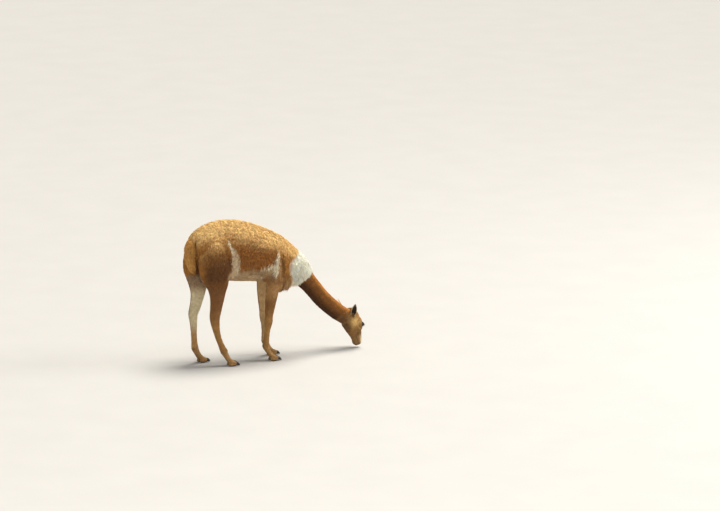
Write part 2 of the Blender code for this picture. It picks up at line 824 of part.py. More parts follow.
def fleece_clumps(surface, draw):
    """Rings of clumps round the trunk, and two rows on the rump beside the tail."""
    spots = []
    for row, x in enumerate(np.arange(*CLUMP_X, CLUMP_SPACING[0])):
        middle = trunk_middle(float(x))
        radius = (outside_hit(surface, middle, round_trunk(1, 0.0))[0] - middle).length
        height = (outside_hit(surface, middle, round_trunk(1, 90.0))[0] - middle).length
        step = math.degrees(CLUMP_SPACING[1] / (0.5 * (radius + height)))
        angle = 90.0 - step * 0.5 * (row % 2)
        while angle > CLUMP_LOWEST_ANGLE:
            for side in (-1, 1) if angle < 90.0 else (1,):
                spots.append(outside_hit(surface, middle, round_trunk(side, angle)))
            angle -= step
    for z in RUMP_CLUMP_ROWS:
        for side in (-1, 1):
            spots.append(outside_hit(surface, (TRUNK[5][0], side * RUMP_CLUMP_OUT, z), (-1, 0, 0)))
    return [
        clump(point, normal, draw.uniform(1 - CLUMP_VARIATION, 1 + CLUMP_VARIATION))
        for point, normal in spots
    ]


def lock(point, normal, length, lean):
    """A flat tapered lock that leaves the surface along a lean and then hangs."""
    down = Vector((0, 0, -1))
    start = (along_surface(Vector(lean), normal) + LOCK_LIFT * normal).normalized()
    across = start.cross(normal).normalized()
    centre = point - 0.5 * LOCK_ROOT * normal - LOCK_ROOT * start
    half_width, half_thick = LOCK
    rings = []
    walked = 0.0
    for share, fullness in LOCK_SHARES:
        way = start.lerp(down, LOCK_DROOP * share).normalized()
        centre = centre + way * ((share - walked) * (length + LOCK_ROOT))
        walked = share
        side = (across - across.dot(way) * way).normalized()
        flat = way.cross(side)
        depth, width = half_thick * fullness, half_width * fullness
        rings.append(oval_ring(centre, np.array(flat), np.array(side), depth, width, LOCK_SIDES))
    return tube("lock", rings)


def uneven(draw, length):
    return length * draw.uniform(1 - LOCK_VARIATION, 1 + LOCK_VARIATION)


def bib_locks(surface, draw):
    """Long locks over the front of the chest, clear of the neck."""
    cut = Vector((NECK_CUT[0], 0.0, NECK_CUT[1]))
    along_neck = Vector(NECK_CUT_WAY).normalized()
    found = []
    for row, (z, length) in enumerate(BIB_ROWS):
        for angle in BIB_ANGLES:
            turned = math.radians(angle + draw.uniform(-LOCK_SCATTER, LOCK_SCATTER))
            turned += math.radians(BIB_STAGGER * (row % 2))
            way = (math.cos(turned), math.sin(turned), 0.0)
            point, normal = outside_hit(surface, (BIB_AXIS_X, 0.0, z), way)
            if (point - cut).dot(along_neck) < -NECK_CLEARANCE:
                found.append(lock(point, normal, uneven(draw, length), BIB_LEAN))
    return found


def fringe_locks(surface, draw):
    """Shorter locks along the lower edges of the trunk, on both sides."""
    found = []
    for first, last, spacing, angle, length, lean in FRINGES:
        for x in np.arange(first, last, spacing):
            for side in (-1, 1):
                way = round_trunk(side, angle + draw.uniform(-LOCK_SCATTER, LOCK_SCATTER))
                point, normal = outside_hit(surface, trunk_middle(float(x)), way)
                found.append(lock(point, normal, uneven(draw, length), lean))
    return found


def tail_locks(surface, draw):
    """Locks on the back of the tail, clear of the trunk and the thighs."""
    found = []
    stations = np.array(TAIL)[::-1]
    for z in TAIL_LOCK_ROWS:
        middle = (float(np.interp(z, stations[:, 1], stations[:, 0])), 0.0, z)
        for angle in TAIL_LOCK_ANGLES:
            turned = math.radians(angle)
            point, normal = outside_hit(surface, middle, (-math.cos(turned), math.sin(turned), 0.0))
            found.append(lock(point, normal, uneven(draw, TAIL_LOCK_LENGTH), TAIL_LEAN))
    return found


def fuse(obj, pieces):
    """Joins closed pieces to a node with one union."""
    group = bpy.data.collections.new("pieces")
    for piece in pieces:
        group.objects.link(piece)
    union = obj.modifiers.new("fuse", "BOOLEAN")
    union.operation = "UNION"
    union.operand_type = "COLLECTION"
    union.collection = group
    union.solver = "EXACT"
    bake_modifiers(obj)
    remove(*pieces)
    bpy.data.collections.remove(group)
    return keep_largest(obj)


def tail_form():
    centres = [(x, 0.0, z) for x, z, _, _ in TAIL]
    girths = [(depth, width) for _, _, depth, width in TAIL]
    return limb_form("tail", centres, girths, sides=14, steps=2)


def finish(obj, look):
    keep_largest(obj)
    obj.data.materials.clear()
    obj.data.materials.append(look)
    obj.data.shade_smooth()
    obj.data.set_sharp_from_angle(angle=math.radians(50))


def upper_cut(leg):
    """The point, way and region of the cut that parts an upper leg from the trunk."""
    kind, side_name = leg.split("_")
    (x, z), lean = LEG_CUTS[leg][:2]
    half_width = UPPER_REGION[kind][1]
    middle = SIDE_OF[side_name] * (half_width + MIDLINE_CLEARANCE)
    way = (-math.sin(math.radians(lean)), 0.0, -math.cos(math.radians(lean)))
    return (x, middle, z), way, UPPER_REGION[kind], 0.65


def build():
    clear_scene()
    wool = material("wool", WOOL, 0.9)
    short_hair = material("short_hair", SHORT_HAIR, 0.85)
    horn = material("horn", HORN, 0.5)
    eye_black = material("eye_black", EYE_BLACK, 0.05)

    draw = random.Random(FLEECE_SEED)
    torso = body_form()
    surface = surface_of(torso)
    fuse(torso, fleece_clumps(surface, draw) + bib_locks(surface, draw) + fringe_locks(surface, draw))
    throat = ((THROAT_CUT[0], 0.0, THROAT_CUT[1]), THROAT_CUT_WAY, (0.20, 0.12), 0.4)
    whole_head = head_form()
    head = beyond(whole_head, "head", *throat)
    remove(whole_head)
    trim(torso, *throat)
    neck = part_off(torso, "neck", (NECK_CUT[0], 0.0, NECK_CUT[1]), NECK_CUT_WAY, (0.115, 0.12), 0.6)
    hairy = [head]
    woolly = [torso, neck]
    thighs = []
    for leg in LEG_PATHS:
        cannon_z, foot_z = LEG_CUTS[leg][2:]
        foot, nails = foot_and_nails(leg, foot_z)
        trim(torso, point_on_leg(leg, foot_z), (0, 0, -1), CANNON_REGION, 0.2)
        cannon = part_off(
            torso, f"{leg}_cannon", point_on_leg(leg, cannon_z), (0, 0, -1), CANNON_REGION, 0.3
        )
        upper = part_off(torso, f"{leg}_upper", *upper_cut(leg))
        if leg.startswith("hind"):
            thighs.append(upper)
        hairy += [foot, cannon, upper]
        for nail in nails:
            finish(nail, horn)

    tail = tail_form()
    for neighbour in (torso, *thighs):
        boolean(neighbour, swollen(tail), "DIFFERENCE")
    fuse(tail, tail_locks(surface_of(tail), draw))
    woolly.append(tail)

    finish_head(head)
    for side_name, side in SIDE_OF.items():
        finish(eye(side_name), eye_black)
        cup = ear(side)
        cup.name = f"ear_{side_name}"
        boolean(cup, swollen(head), "DIFFERENCE")
        hairy.append(cup)
    for obj in woolly:
        finish(obj, wool)
    for obj in hairy:
        finish(obj, short_hair)


build()
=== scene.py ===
import json
import math

import bpy
import numpy as np
from mathutils import Matrix, Vector
from mathutils.bvhtree import BVHTree
from mathutils.kdtree import KDTree

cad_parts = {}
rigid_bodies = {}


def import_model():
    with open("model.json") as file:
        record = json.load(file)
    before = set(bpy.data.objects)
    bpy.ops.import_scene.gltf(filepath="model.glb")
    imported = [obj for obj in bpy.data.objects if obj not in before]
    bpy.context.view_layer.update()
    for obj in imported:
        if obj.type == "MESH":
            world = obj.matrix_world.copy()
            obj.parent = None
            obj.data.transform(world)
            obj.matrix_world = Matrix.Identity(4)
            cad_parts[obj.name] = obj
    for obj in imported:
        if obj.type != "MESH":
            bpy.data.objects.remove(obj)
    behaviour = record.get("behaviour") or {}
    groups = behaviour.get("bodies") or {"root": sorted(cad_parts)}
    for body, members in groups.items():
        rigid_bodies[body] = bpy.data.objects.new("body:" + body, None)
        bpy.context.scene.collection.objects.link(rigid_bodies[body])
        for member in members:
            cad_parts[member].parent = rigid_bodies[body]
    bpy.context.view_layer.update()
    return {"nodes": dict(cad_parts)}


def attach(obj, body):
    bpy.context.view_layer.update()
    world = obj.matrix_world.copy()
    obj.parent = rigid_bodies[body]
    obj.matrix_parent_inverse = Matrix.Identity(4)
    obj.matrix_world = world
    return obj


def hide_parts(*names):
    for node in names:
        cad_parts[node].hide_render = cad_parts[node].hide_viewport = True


for leftover in list(bpy.data.objects):
    bpy.data.objects.remove(leftover, do_unlink=True)
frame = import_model()
bpy.ops.object.select_all(action="DESELECT")
print("solids loaded:", len(frame["nodes"]))


def pickOnly(piece):
    bpy.ops.object.select_all(action="DESELECT")
    piece.select_set(True)
    bpy.context.view_layer.objects.active = piece


def applyModifier(piece, kind, **settings):
    pickOnly(piece)
    modifier = piece.modifiers.new(kind.lower(), kind)
    for setting, value in settings.items():
        setattr(modifier, setting, value)
    bpy.ops.object.modifier_apply(modifier=modifier.name)


def joinAll(name, pieces):
    pickOnly(pieces[0])
    for piece in pieces:
        piece.select_set(True)
    bpy.ops.object.join()
    pieces[0].name = name
    return pieces[0]


def ramp(values, start, end):
    # 0 before start, 1 past end, smooth between
    share = np.clip((np.asarray(values, float) - start) / (end - start), 0.0, 1.0)
    return share * share * (3 - 2 * share)


def smoothRows(rows, between):
    # rows of a table with Catmull-Rom rows put between them
    rows = np.array(rows, float)
    padded = np.vstack([2 * rows[0] - rows[1], rows, 2 * rows[-1] - rows[-2]])
    found = []
    for i in range(len(rows) - 1):
        before, here, there, after = padded[i : i + 4]
        for t in np.arange(between) / between:
            found.append(0.5 * (2 * here + (there - before) * t
                                + (2 * before - 5 * here + 4 * there - after) * t**2
                                + (3 * here - before - 3 * there + after) * t**3))
    found.append(rows[-1])
    return np.array(found)


def ringTube(name, rows, sides=32, between=4, upright=False):
    # rows of x, y, z, half depth and half width: a circle for each, then all bridged
    table = smoothRows(rows, between)
    ways = np.gradient(table[:, :3], axis=0)
    bpy.ops.object.select_all(action="DESELECT")
    for i, (x, y, z, depth, width) in enumerate(table):
        bpy.ops.mesh.primitive_circle_add(vertices=sides, radius=1, rotation=(0, math.pi / 2, 0))
        if i == 0:
            bpy.ops.object.transform_apply()
            form = bpy.context.object
            form.name = name
            bpy.ops.object.mode_set(mode="EDIT")
            bpy.ops.mesh.select_all(action="SELECT")
        bpy.ops.transform.resize(value=(1, width, depth), center_override=(0, 0, 0))
        if not upright:
            tilt = math.atan2(ways[i][2], ways[i][0])
            bpy.ops.transform.rotate(value=tilt, orient_axis="Y", center_override=(0, 0, 0))
        bpy.ops.transform.translate(value=(x, y, z))
    bpy.ops.mesh.select_all(action="SELECT")
    bpy.ops.mesh.bridge_edge_loops()
    bpy.ops.mesh.select_all(action="DESELECT")
    bpy.ops.mesh.select_non_manifold()
    bpy.ops.mesh.edge_face_add()
    bpy.ops.mesh.select_all(action="SELECT")
    bpy.ops.mesh.normals_make_consistent(inside=False)
    bpy.ops.object.mode_set(mode="OBJECT")
    return form


def swelling(name, centre, radii, turnY=0.0, segments=24):
    # a ball pressed into an oval, leaned about Y by some degrees
    bpy.ops.object.select_all(action="DESELECT")
    bpy.ops.mesh.primitive_uv_sphere_add(segments=segments, ring_count=segments // 2, radius=1)
    form = bpy.context.object
    form.name = name
    bpy.ops.object.mode_set(mode="EDIT")
    bpy.ops.mesh.select_all(action="SELECT")
    bpy.ops.transform.resize(value=radii, center_override=(0, 0, 0))
    if turnY:
        bpy.ops.transform.rotate(value=math.radians(turnY), orient_axis="Y", center_override=(0, 0, 0))
    bpy.ops.transform.translate(value=centre)
    bpy.ops.object.mode_set(mode="OBJECT")
    return form


def melt(piece, grain, rounds):
    applyModifier(piece, "REMESH", mode="VOXEL", voxel_size=grain)
    applyModifier(piece, "SMOOTH", factor=0.5, iterations=rounds)


def pointsOf(piece):
    spots = np.empty(len(piece.data.vertices) * 3)
    piece.data.vertices.foreach_get("co", spots)
    return spots.reshape(-1, 3)


def movePoints(piece, spots):
    piece.data.vertices.foreach_set("co", spots.ravel())
    piece.data.update()


def normalsOf(piece):
    ways = np.empty(len(piece.data.vertices) * 3)
    piece.data.vertex_normals.foreach_get("vector", ways)
    return ways.reshape(-1, 3)


def unit(ways):
    return ways / np.maximum(np.linalg.norm(ways, axis=-1, keepdims=True), 1e-9)


# Body under the coat
body = {
    "grain": 0.0030,
    "triangles": 120000,
    # x, top, bottom, half width of the woolly trunk, which the skin lies inside
    "trunk": ((-0.572, 0.790, 0.755, 0.030), (-0.557, 0.822, 0.705, 0.070),
              (-0.525, 0.853, 0.640, 0.106), (-0.465, 0.885, 0.570, 0.130),
              (-0.380, 0.903, 0.528, 0.139), (-0.270, 0.897, 0.508, 0.144),
              (-0.160, 0.868, 0.497, 0.148), (-0.060, 0.826, 0.480, 0.144),
              (0.030, 0.777, 0.456, 0.133), (0.110, 0.710, 0.430, 0.116),
              (0.168, 0.644, 0.422, 0.097), (0.208, 0.582, 0.438, 0.070),
              (0.226, 0.545, 0.475, 0.034)),
    "woolDepth": 0.0105,
    "bellyDepth": 0.004,
    "chestFringe": 0.026,
    # x, z, half depth, half width
    "neck": ((0.080, 0.600, 0.085, 0.075), (0.150, 0.536, 0.076, 0.062),
             (0.235, 0.443, 0.059, 0.049), (0.331, 0.331, 0.056, 0.045),
             (0.436, 0.240, 0.054, 0.044), (0.500, 0.200, 0.055, 0.044),
             (0.535, 0.180, 0.050, 0.040)),
    "neckDepth": 0.0045,
    "tail": ((-0.530, 0.808, 0.024, 0.028), (-0.560, 0.785, 0.028, 0.033),
             (-0.574, 0.735, 0.032, 0.040), (-0.574, 0.680, 0.031, 0.040),
             (-0.564, 0.630, 0.024, 0.030), (-0.553, 0.600, 0.008, 0.010)),
    "tailDepth": 0.010,
    # half depth and half width at each station of the legs, and the coat's depth there
    "hindGirth": ((0.085, 0.050, 0.009), (0.112, 0.066, 0.009), (0.108, 0.062, 0.008),
                  (0.072, 0.048, 0.007), (0.052, 0.038, 0.005), (0.042, 0.030, 0.0035),
                  (0.037, 0.0275, 0.003), (0.032, 0.026, 0.0025), (0.0245, 0.0215, 0.002),
                  (0.0205, 0.019, 0.002), (0.020, 0.0185, 0.0018), (0.024, 0.0225, 0.0018)),
    "foreGirth": ((0.090, 0.048, 0.009), (0.078, 0.050, 0.008), (0.056, 0.043, 0.006),
                  (0.044, 0.035, 0.004), (0.036, 0.030, 0.003), (0.029, 0.0265, 0.0025),
                  (0.028, 0.027, 0.0022), (0.0205, 0.021, 0.002), (0.0190, 0.0185, 0.0018),
                  (0.0225, 0.0225, 0.0018)),
    # x, distance out from the middle, z of the same stations
    "legs": {
        "hindRight": ((-0.433, 0.062, 0.800), (-0.443, 0.083, 0.680), (-0.440, 0.092, 0.590),
                      (-0.436, 0.093, 0.505), (-0.436, 0.090, 0.440), (-0.443, 0.087, 0.375),
                      (-0.450, 0.085, 0.325), (-0.449, 0.083, 0.288), (-0.440, 0.082, 0.235),
                      (-0.426, 0.081, 0.185), (-0.408, 0.080, 0.138), (-0.388, 0.080, 0.093)),
        "hindLeft": ((-0.446, 0.062, 0.800), (-0.464, 0.081, 0.680), (-0.470, 0.092, 0.590),
                     (-0.479, 0.093, 0.505), (-0.484, 0.090, 0.440), (-0.496, 0.087, 0.385),
                     (-0.509, 0.085, 0.344), (-0.520, 0.083, 0.308), (-0.518, 0.082, 0.250),
                     (-0.517, 0.081, 0.190), (-0.515, 0.080, 0.140), (-0.511, 0.080, 0.095)),
        "foreRight": ((0.020, 0.078, 0.640), (-0.015, 0.085, 0.560), (-0.050, 0.086, 0.490),
                      (-0.064, 0.084, 0.420), (-0.074, 0.081, 0.350), (-0.081, 0.078, 0.290),
                      (-0.084, 0.076, 0.248), (-0.090, 0.074, 0.200), (-0.095, 0.072, 0.150),
                      (-0.099, 0.070, 0.098)),
        "foreLeft": ((0.025, 0.078, 0.640), (-0.005, 0.085, 0.560), (-0.032, 0.085, 0.490),
                     (-0.042, 0.082, 0.420), (-0.044, 0.079, 0.350), (-0.044, 0.076, 0.290),
                     (-0.043, 0.075, 0.248), (-0.042, 0.072, 0.200), (-0.041, 0.070, 0.150),
                     (-0.040, 0.068, 0.098)),
    },
    # one toe from the fetlock forwards: forward, out, height, half depth, half width
    "toe": ((-0.004, 0.003, 0.112, 0.0185, 0.0135), (0.002, 0.005, 0.090, 0.0195, 0.0145),
            (0.016, 0.010, 0.062, 0.0150, 0.0125), (0.034, 0.0150, 0.036, 0.0145, 0.0120),
            (0.054, 0.0170, 0.0225, 0.0140, 0.0122), (0.073, 0.0180, 0.0165, 0.0115, 0.0105)),
    "pad": ((0.050, 0.0165, 0.0125), (0.0285, 0.0132, 0.0135)),
    "toeTurnOut": {"hind": 6.0, "fore": 4.0},
    # muscles and joints: centre and radii, x, out, z, lean
    "swellings": ((-0.445, 0.092, 0.655, 0.096, 0.050, 0.150, -6), (0.000, 0.084, 0.575, 0.068, 0.040, 0.120, 18),
                  (-0.030, 0.080, 0.500, 0.048, 0.036, 0.070, 10)),
    # creases: start, end (x, out, z), depth, breadth
    "creases": (((-0.394, 0.120, 0.850), (-0.346, 0.150, 0.765), 0.008, 0.010),
                ((-0.352, 0.150, 0.790), (-0.340, 0.152, 0.610), 0.017, 0.017),
                ((-0.340, 0.150, 0.610), (-0.352, 0.120, 0.540), 0.016, 0.020),
                ((-0.563, 0.050, 0.795), (-0.562, 0.046, 0.630), 0.014, 0.010),
                ((-0.058, 0.150, 0.700), (-0.075, 0.140, 0.560), 0.010, 0.014),
                ((-0.075, 0.140, 0.560), (-0.110, 0.110, 0.505), 0.008, 0.016)),
}
sideOf = {"Right": -1.0, "Left": 1.0}


def legRows(leg):
    girths = body["hindGirth" if leg.startswith("hind") else "foreGirth"]
    side = sideOf["Left" if leg.endswith("Left") else "Right"]
    return [(x, side * y, z, depth - less, width - less)
            for (x, y, z), (depth, width, less) in zip(body["legs"][leg], girths)]


def footPlace(leg):
    # on the ground under the fetlock, X forwards along the toes
    x, y, z = legRows(leg)[-1][:3]
    side = 1.0 if y > 0 else -1.0
    turn = body["toeTurnOut"]["hind" if leg.startswith("hind") else "fore"]
    return Matrix.Translation((x, y, 0.0)) @ Matrix.Rotation(math.radians(side * turn), 4, "Z")


def bodyForms():
    trunk = []
    for x, top, bottom, halfWidth in body["trunk"]:
        top -= body["woolDepth"]
        bottom += body["chestFringe"] if x > 0 else body["bellyDepth"]
        trunk.append((x, 0.0, (top + bottom) / 2, (top - bottom) / 2, halfWidth - body["woolDepth"]))
    less = body["neckDepth"]
    neck = [(x, 0.0, z, depth - less, width - less) for x, z, depth, width in body["neck"]]
    less = body["tailDepth"]
    tail = [(x, 0.0, z, max(depth - less, 0.004), max(width - less, 0.004)) for x, z, depth, width in body["tail"]]
    forms = [ringTube("trunk", trunk, upright=True), ringTube("neck", neck), ringTube("tail", tail, sides=20)]
    for leg in body["legs"]:
        forms.append(ringTube(leg, legRows(leg)))
        place = footPlace(leg)
        for toeSide in (-1, 1):
            toe = [(x, toeSide * y, z, depth, width) for x, y, z, depth, width in body["toe"]]
            (x, y, z), radii = body["pad"]
            for form in (ringTube("toe", toe, sides=20), swelling("pad", (x, toeSide * y, z), radii)):
                form.data.transform(place)
                forms.append(form)
    for x, out, z, radiusX, radiusY, radiusZ, lean in body["swellings"]:
        for side in (-1, 1):
            forms.append(swelling("muscle", (x, side * out, z), (radiusX, radiusY, radiusZ), lean))
    return forms


def pressCreases(skin):
    spots, ways = pointsOf(skin), normalsOf(skin)
    for start, end, depth, breadth in body["creases"]:
        for side in (-1, 1):
            a = np.array(start) * (1, side, 1)
            b = np.array(end) * (1, side, 1)
            share = np.clip((spots - a) @ (b - a) / ((b - a) @ (b - a)), 0, 1)
            gap = np.linalg.norm(spots - (a + share[:, None] * (b - a)), axis=1)
            fade = np.exp(-((gap / breadth) ** 2)) * np.sin(np.pi * (0.12 + 0.76 * share))
            spots -= ways * (depth * fade)[:, None]
    movePoints(skin, spots)


skin = joinAll("hide", bodyForms())
melt(skin, body["grain"], rounds=16)
pressCreases(skin)
print("body formed:", len(skin.data.polygons), "faces")

# Head, in its own axes: x from the poll to the lips, y to its left, z towards the forehead
head = {
    "grain": 0.0013,
    "triangles": 62000,
    "poll": (0.531, 0.0, 0.226),
    "pitch": 75.0,
    "turn": 10.0,
    "coatDepth": 0.0012,
    # x, top, bottom, half width
    "skull": ((-0.024, 0.020, -0.054, 0.034), (0.006, 0.037, -0.070, 0.043),
              (0.038, 0.045, -0.080, 0.048), (0.072, 0.044, -0.079, 0.0475),
              (0.100, 0.0415, -0.070, 0.0415), (0.128, 0.0385, -0.058, 0.033),
              (0.155, 0.0335, -0.048, 0.0275), (0.182, 0.0275, -0.041, 0.0260),
              (0.203, 0.0165, -0.037, 0.0225), (0.215, -0.002, -0.026, 0.0120)),
    # x, out, z, radii and lean of each form
    "forms": {
        "orbit": (0.078, 0.0255, 0.0165, 0.048, 0.0245, 0.0245, -8),
        "brow": (0.076, 0.0285, 0.0280, 0.038, 0.0170, 0.0120, -6),
        "cheek": (0.052, 0.0240, -0.036, 0.052, 0.0235, 0.040, 0),
        "jawAngle": (0.026, 0.0215, -0.058, 0.024, 0.0140, 0.020, 0),
        "cheekBone": (0.104, 0.0270, 0.000, 0.050, 0.0145, 0.0150, -10),
        "bridge": (0.146, 0.0060, 0.0245, 0.056, 0.0100, 0.0090, -13),
        "upperLip": (0.194, 0.0105, -0.005, 0.021, 0.0155, 0.0165, 0),
        "nostrilWing": (0.2040, 0.0110, 0.0075, 0.0085, 0.0066, 0.0095, 0),
        "lowerLip": (0.187, 0.0050, -0.031, 0.021, 0.0150, 0.0105, 0),
        "chin": (0.180, 0.0030, -0.0345, 0.015, 0.0110, 0.0085, 0),
    },
    # grooves along points of x, out, z: depth and breadth
    "grooves": (
        (((0.150, 0.034, -0.028), (0.165, 0.030, -0.0235), (0.185, 0.027, -0.0200),
          (0.200, 0.021, -0.0185), (0.210, 0.010, -0.0180), (0.214, 0.0, -0.0180)), 0.0042, 0.0021),
        (((0.213, 0.0, -0.016), (0.216, 0.0, -0.004)), 0.0024, 0.0016),
        (((0.1990, 0.0190, 0.0150), (0.2065, 0.0165, 0.0100), (0.2120, 0.0105, 0.0040)), 0.0080, 0.0029),
        (((0.075, 0.047, -0.012), (0.105, 0.040, -0.016), (0.140, 0.032, -0.012)), 0.0026, 0.0085),
        (((0.100, 0.0425, 0.015), (0.114, 0.0370, 0.010)), 0.0026, 0.0022),
    ),
    "throatPoint": (0.446, 0.0, 0.230),
    "throatWay": (0.85, 0.0, -0.53),
}
eyes = {
    "at": (0.080, 0.0408, 0.0225),
    "radius": 0.0162,
    "look": (0.12, 1.0, 0.30),
    "lidAngles": (55.0, 31.0),
    "lidThickness": (0.0026, 0.0020),
    "irisAngle": 47.0,
    "pupil": (27.0, 12.0),
    "browShadowLine": ((0.068, 0.0455, 0.0270), (0.052, 0.0450, 0.0270)),
    "frontCornerLine": ((0.094, 0.0420, 0.0190), (0.106, 0.0380, 0.0140)),
    "lashes": 44,
    "lashLength": 0.0075,
}
ears = {
    "length": 0.104,
    # share of the length, radius of the curl, half angle of the curl, thickness
    "rows": ((0.00, 0.0115, 140.0, 0.0046), (0.20, 0.0145, 122.0, 0.0036),
             (0.48, 0.0172, 88.0, 0.0029), (0.74, 0.0167, 58.0, 0.0023),
             (0.90, 0.0132, 34.0, 0.0019), (1.00, 0.0040, 22.0, 0.0014)),
    "root": (0.002, 0.030, -0.012),
    "way": (-0.82, 0.57, -0.05),
    "opening": (0.40, 0.53, -0.75),
    "arcSteps": 15,
}
headPlace = (Matrix.Translation(head["poll"]) @ Matrix.Rotation(math.radians(head["turn"]), 4, "Z")
             @ Matrix.Rotation(math.radians(head["pitch"]), 4, "Y"))
headTurn = np.array(headPlace.to_3x3())


def inHead(spots):
    return (spots - np.array(head["poll"])) @ headTurn


def eyeAxes(side):
    x, y, z = eyes["at"]
    look = Vector((eyes["look"][0], side * eyes["look"][1], eyes["look"][2])).normalized()
    forwards = Vector((1, 0, 0))
    forwards = (forwards - forwards.dot(look) * look).normalized()
    return Vector((x, side * y, z)), look, forwards, look.cross(forwards)


def earAxes(side):
    root, way, opening = (Vector((x, side * y, z)) for x, y, z in (ears["root"], ears["way"], ears["opening"]))
    way.normalize()
    opening = (opening - opening.dot(way) * way).normalized()
    return root, way, opening, way.cross(opening)


def lidOpening(turn, across):
    # how far from the look the lids stand apart, at each angle round it
    wide, tall = (math.sin(math.radians(angle)) for angle in eyes["lidAngles"])
    reach = np.sqrt(1 / ((np.cos(turn) / wide) ** 2 + (np.sin(turn) / tall) ** 2)) * (1 + 0.08 * np.cos(turn) ** 8)
    upness = 0.5 + 0.5 * np.sin(turn) * (1 if across[2] > 0 else -1)
    upper, lower = eyes["lidThickness"]
    return np.arcsin(np.minimum(reach, 0.95)), lower + (upper - lower) * upness


def lidCup(side):
    # both lids as one thick cup round the eye, open in an almond
    centre, look, forwards, across = (np.array(v) for v in eyeAxes(side))
    bpy.ops.object.select_all(action="DESELECT")
    bpy.ops.mesh.primitive_torus_add(major_segments=72, minor_segments=28, major_radius=1, minor_radius=0.25)
    cup = bpy.context.object
    cup.name = "lids"
    spots = pointsOf(cup)
    turn = np.arctan2(spots[:, 1], spots[:, 0])
    section = np.arctan2(spots[:, 2], 1 - np.hypot(spots[:, 0], spots[:, 1]))
    opening, thick = lidOpening(turn, across)
    # the torus section runs from the lid's edge over the outer side and back along the inner one
    share = np.clip(1.12 * np.abs(section) / np.pi, 0, 1)
    angle = opening + (math.radians(140) - opening) * share
    outwards = np.clip(section / 0.35, -1, 1)
    bulge = np.sqrt(1 - (1 - np.maximum(outwards, 0)) ** 2)
    radius = eyes["radius"] + np.where(outwards > 0, thick * bulge, 0.0012 * outwards)
    axes = np.array((forwards, across, look))
    movePoints(cup, centre + radius[:, None] * (np.column_stack(
        (np.sin(angle) * np.cos(turn), np.sin(angle) * np.sin(turn), np.cos(angle))) @ axes))
    pickOnly(cup)
    bpy.ops.object.mode_set(mode="EDIT")
    bpy.ops.mesh.select_all(action="SELECT")
    bpy.ops.mesh.normals_make_consistent(inside=False)
    bpy.ops.object.mode_set(mode="OBJECT")
    return cup


def earShell(side):
    # arcs of a cup, its outer and its inner wall, lofted from the root to the tip
    root, way, opening, across = earAxes(side)
    steps = ears["arcSteps"]
    rings = []
    for share, radius, halfAngle, thick in smoothRows(ears["rows"], 4):
        middle = np.array(root + way * float(share * ears["length"])) + np.array(opening) * radius
        turns = np.radians(np.linspace(-halfAngle, halfAngle, steps))[:, None]
        outwards = np.sin(turns) * np.array(across) - np.cos(turns) * np.array(opening)
        taper = np.linspace(-1, 1, steps)[:, None] ** 8 * 0.5
        rings.append(np.vstack([middle + radius * outwards, middle + (radius - thick * (1 - taper)) * outwards[::-1]]))
    count = 2 * steps
    faces = [(r * count + s, r * count + (s + 1) % count, (r + 1) * count + (s + 1) % count, (r + 1) * count + s)
             for r in range(len(rings) - 1) for s in range(count)]
    for r in (0, len(rings) - 1):
        faces += [(r * count + s, r * count + s + 1, r * count + count - 2 - s, r * count + count - 1 - s)
                  for s in range(steps - 1)]
    mesh = bpy.data.meshes.new("earShell")
    mesh.from_pydata(np.vstack(rings).tolist(), [], faces)
    shell = bpy.data.objects.new("earShell", mesh)
    bpy.context.scene.collection.objects.link(shell)
    pickOnly(shell)
    bpy.ops.object.mode_set(mode="EDIT")
    bpy.ops.mesh.select_all(action="SELECT")
    bpy.ops.mesh.normals_make_consistent(inside=False)
    bpy.ops.object.mode_set(mode="OBJECT")
    return shell


def gapTo(spots, path, weights=(1, 1, 1)):
    # distance of each spot to a bent line, and the line's fourth value there
    weights = np.array(weights, float)
    nearest = np.full(len(spots), 9.0)
    value = np.zeros(len(spots))
    for a, b in zip(path, path[1:]):
        run = (b - a)[:3] * weights
        share = np.clip(((spots - a[:3]) * weights) @ run / (run @ run), 0, 1)
        gap = np.linalg.norm((spots - a[:3]) * weights - share[:, None] * run, axis=1)
        closer = gap < nearest
        nearest = np.where(closer, gap, nearest)
        if len(a) > 3:
            value = np.where(closer, a[3] + share * (b[3] - a[3]), value)
    return nearest, value


def pressGrooves(piece):
    # the lines are first laid onto the face
    spots, ways = pointsOf(piece), normalsOf(piece)
    laid = []
    for path, depth, breadth in head["grooves"]:
        for side in (-1, 1):
            corners = smoothRows(np.array(path) * (1, side, 1), 4)
            corners = np.array([piece.closest_point_on_mesh(corner)[1][:] for corner in corners])
            laid.append(corners)
            middle = 0.5 if path[0][1] == 0 else 1.0
            gap = gapTo(spots, corners)[0]
            spots -= ways * (depth * middle * np.exp(-((gap / breadth) ** 2)))[:, None]
    movePoints(piece, spots)
    return laid


def makeFace():
    less = head["coatDepth"]
    skull = [(x, 0, (top + bottom) / 2, (top - bottom) / 2 - less, halfWidth - less)
             for x, top, bottom, halfWidth in head["skull"]]
    forms = [ringTube("skull", skull, sides=40, upright=True)]
    for word, (x, out, z, radiusX, radiusY, radiusZ, lean) in head["forms"].items():
        for side in (-1, 1):
            forms.append(swelling(word, (x, side * out, z), (radiusX - less, radiusY - less, radiusZ - less), lean, 32))
    less = body["neckDepth"]
    nape = ringTube("nape", [(x, 0, z, depth - less, width - less) for x, z, depth, width in body["neck"][3:]])
    nape.data.transform(headPlace.inverted())
    face = joinAll("face", forms + [nape])
    melt(face, head["grain"] * 2, rounds=16)
    melt(face, head["grain"], rounds=8)
    face = joinAll("face", [face, lidCup(-1), lidCup(1)])
    melt(face, head["grain"], rounds=2)
    laid = pressGrooves(face)
    applyModifier(face, "DECIMATE", ratio=min(1.0, head["triangles"] / (2 * len(face.data.polygons))))
    return joinAll("face", [face, earShell(-1), earShell(1)]), laid


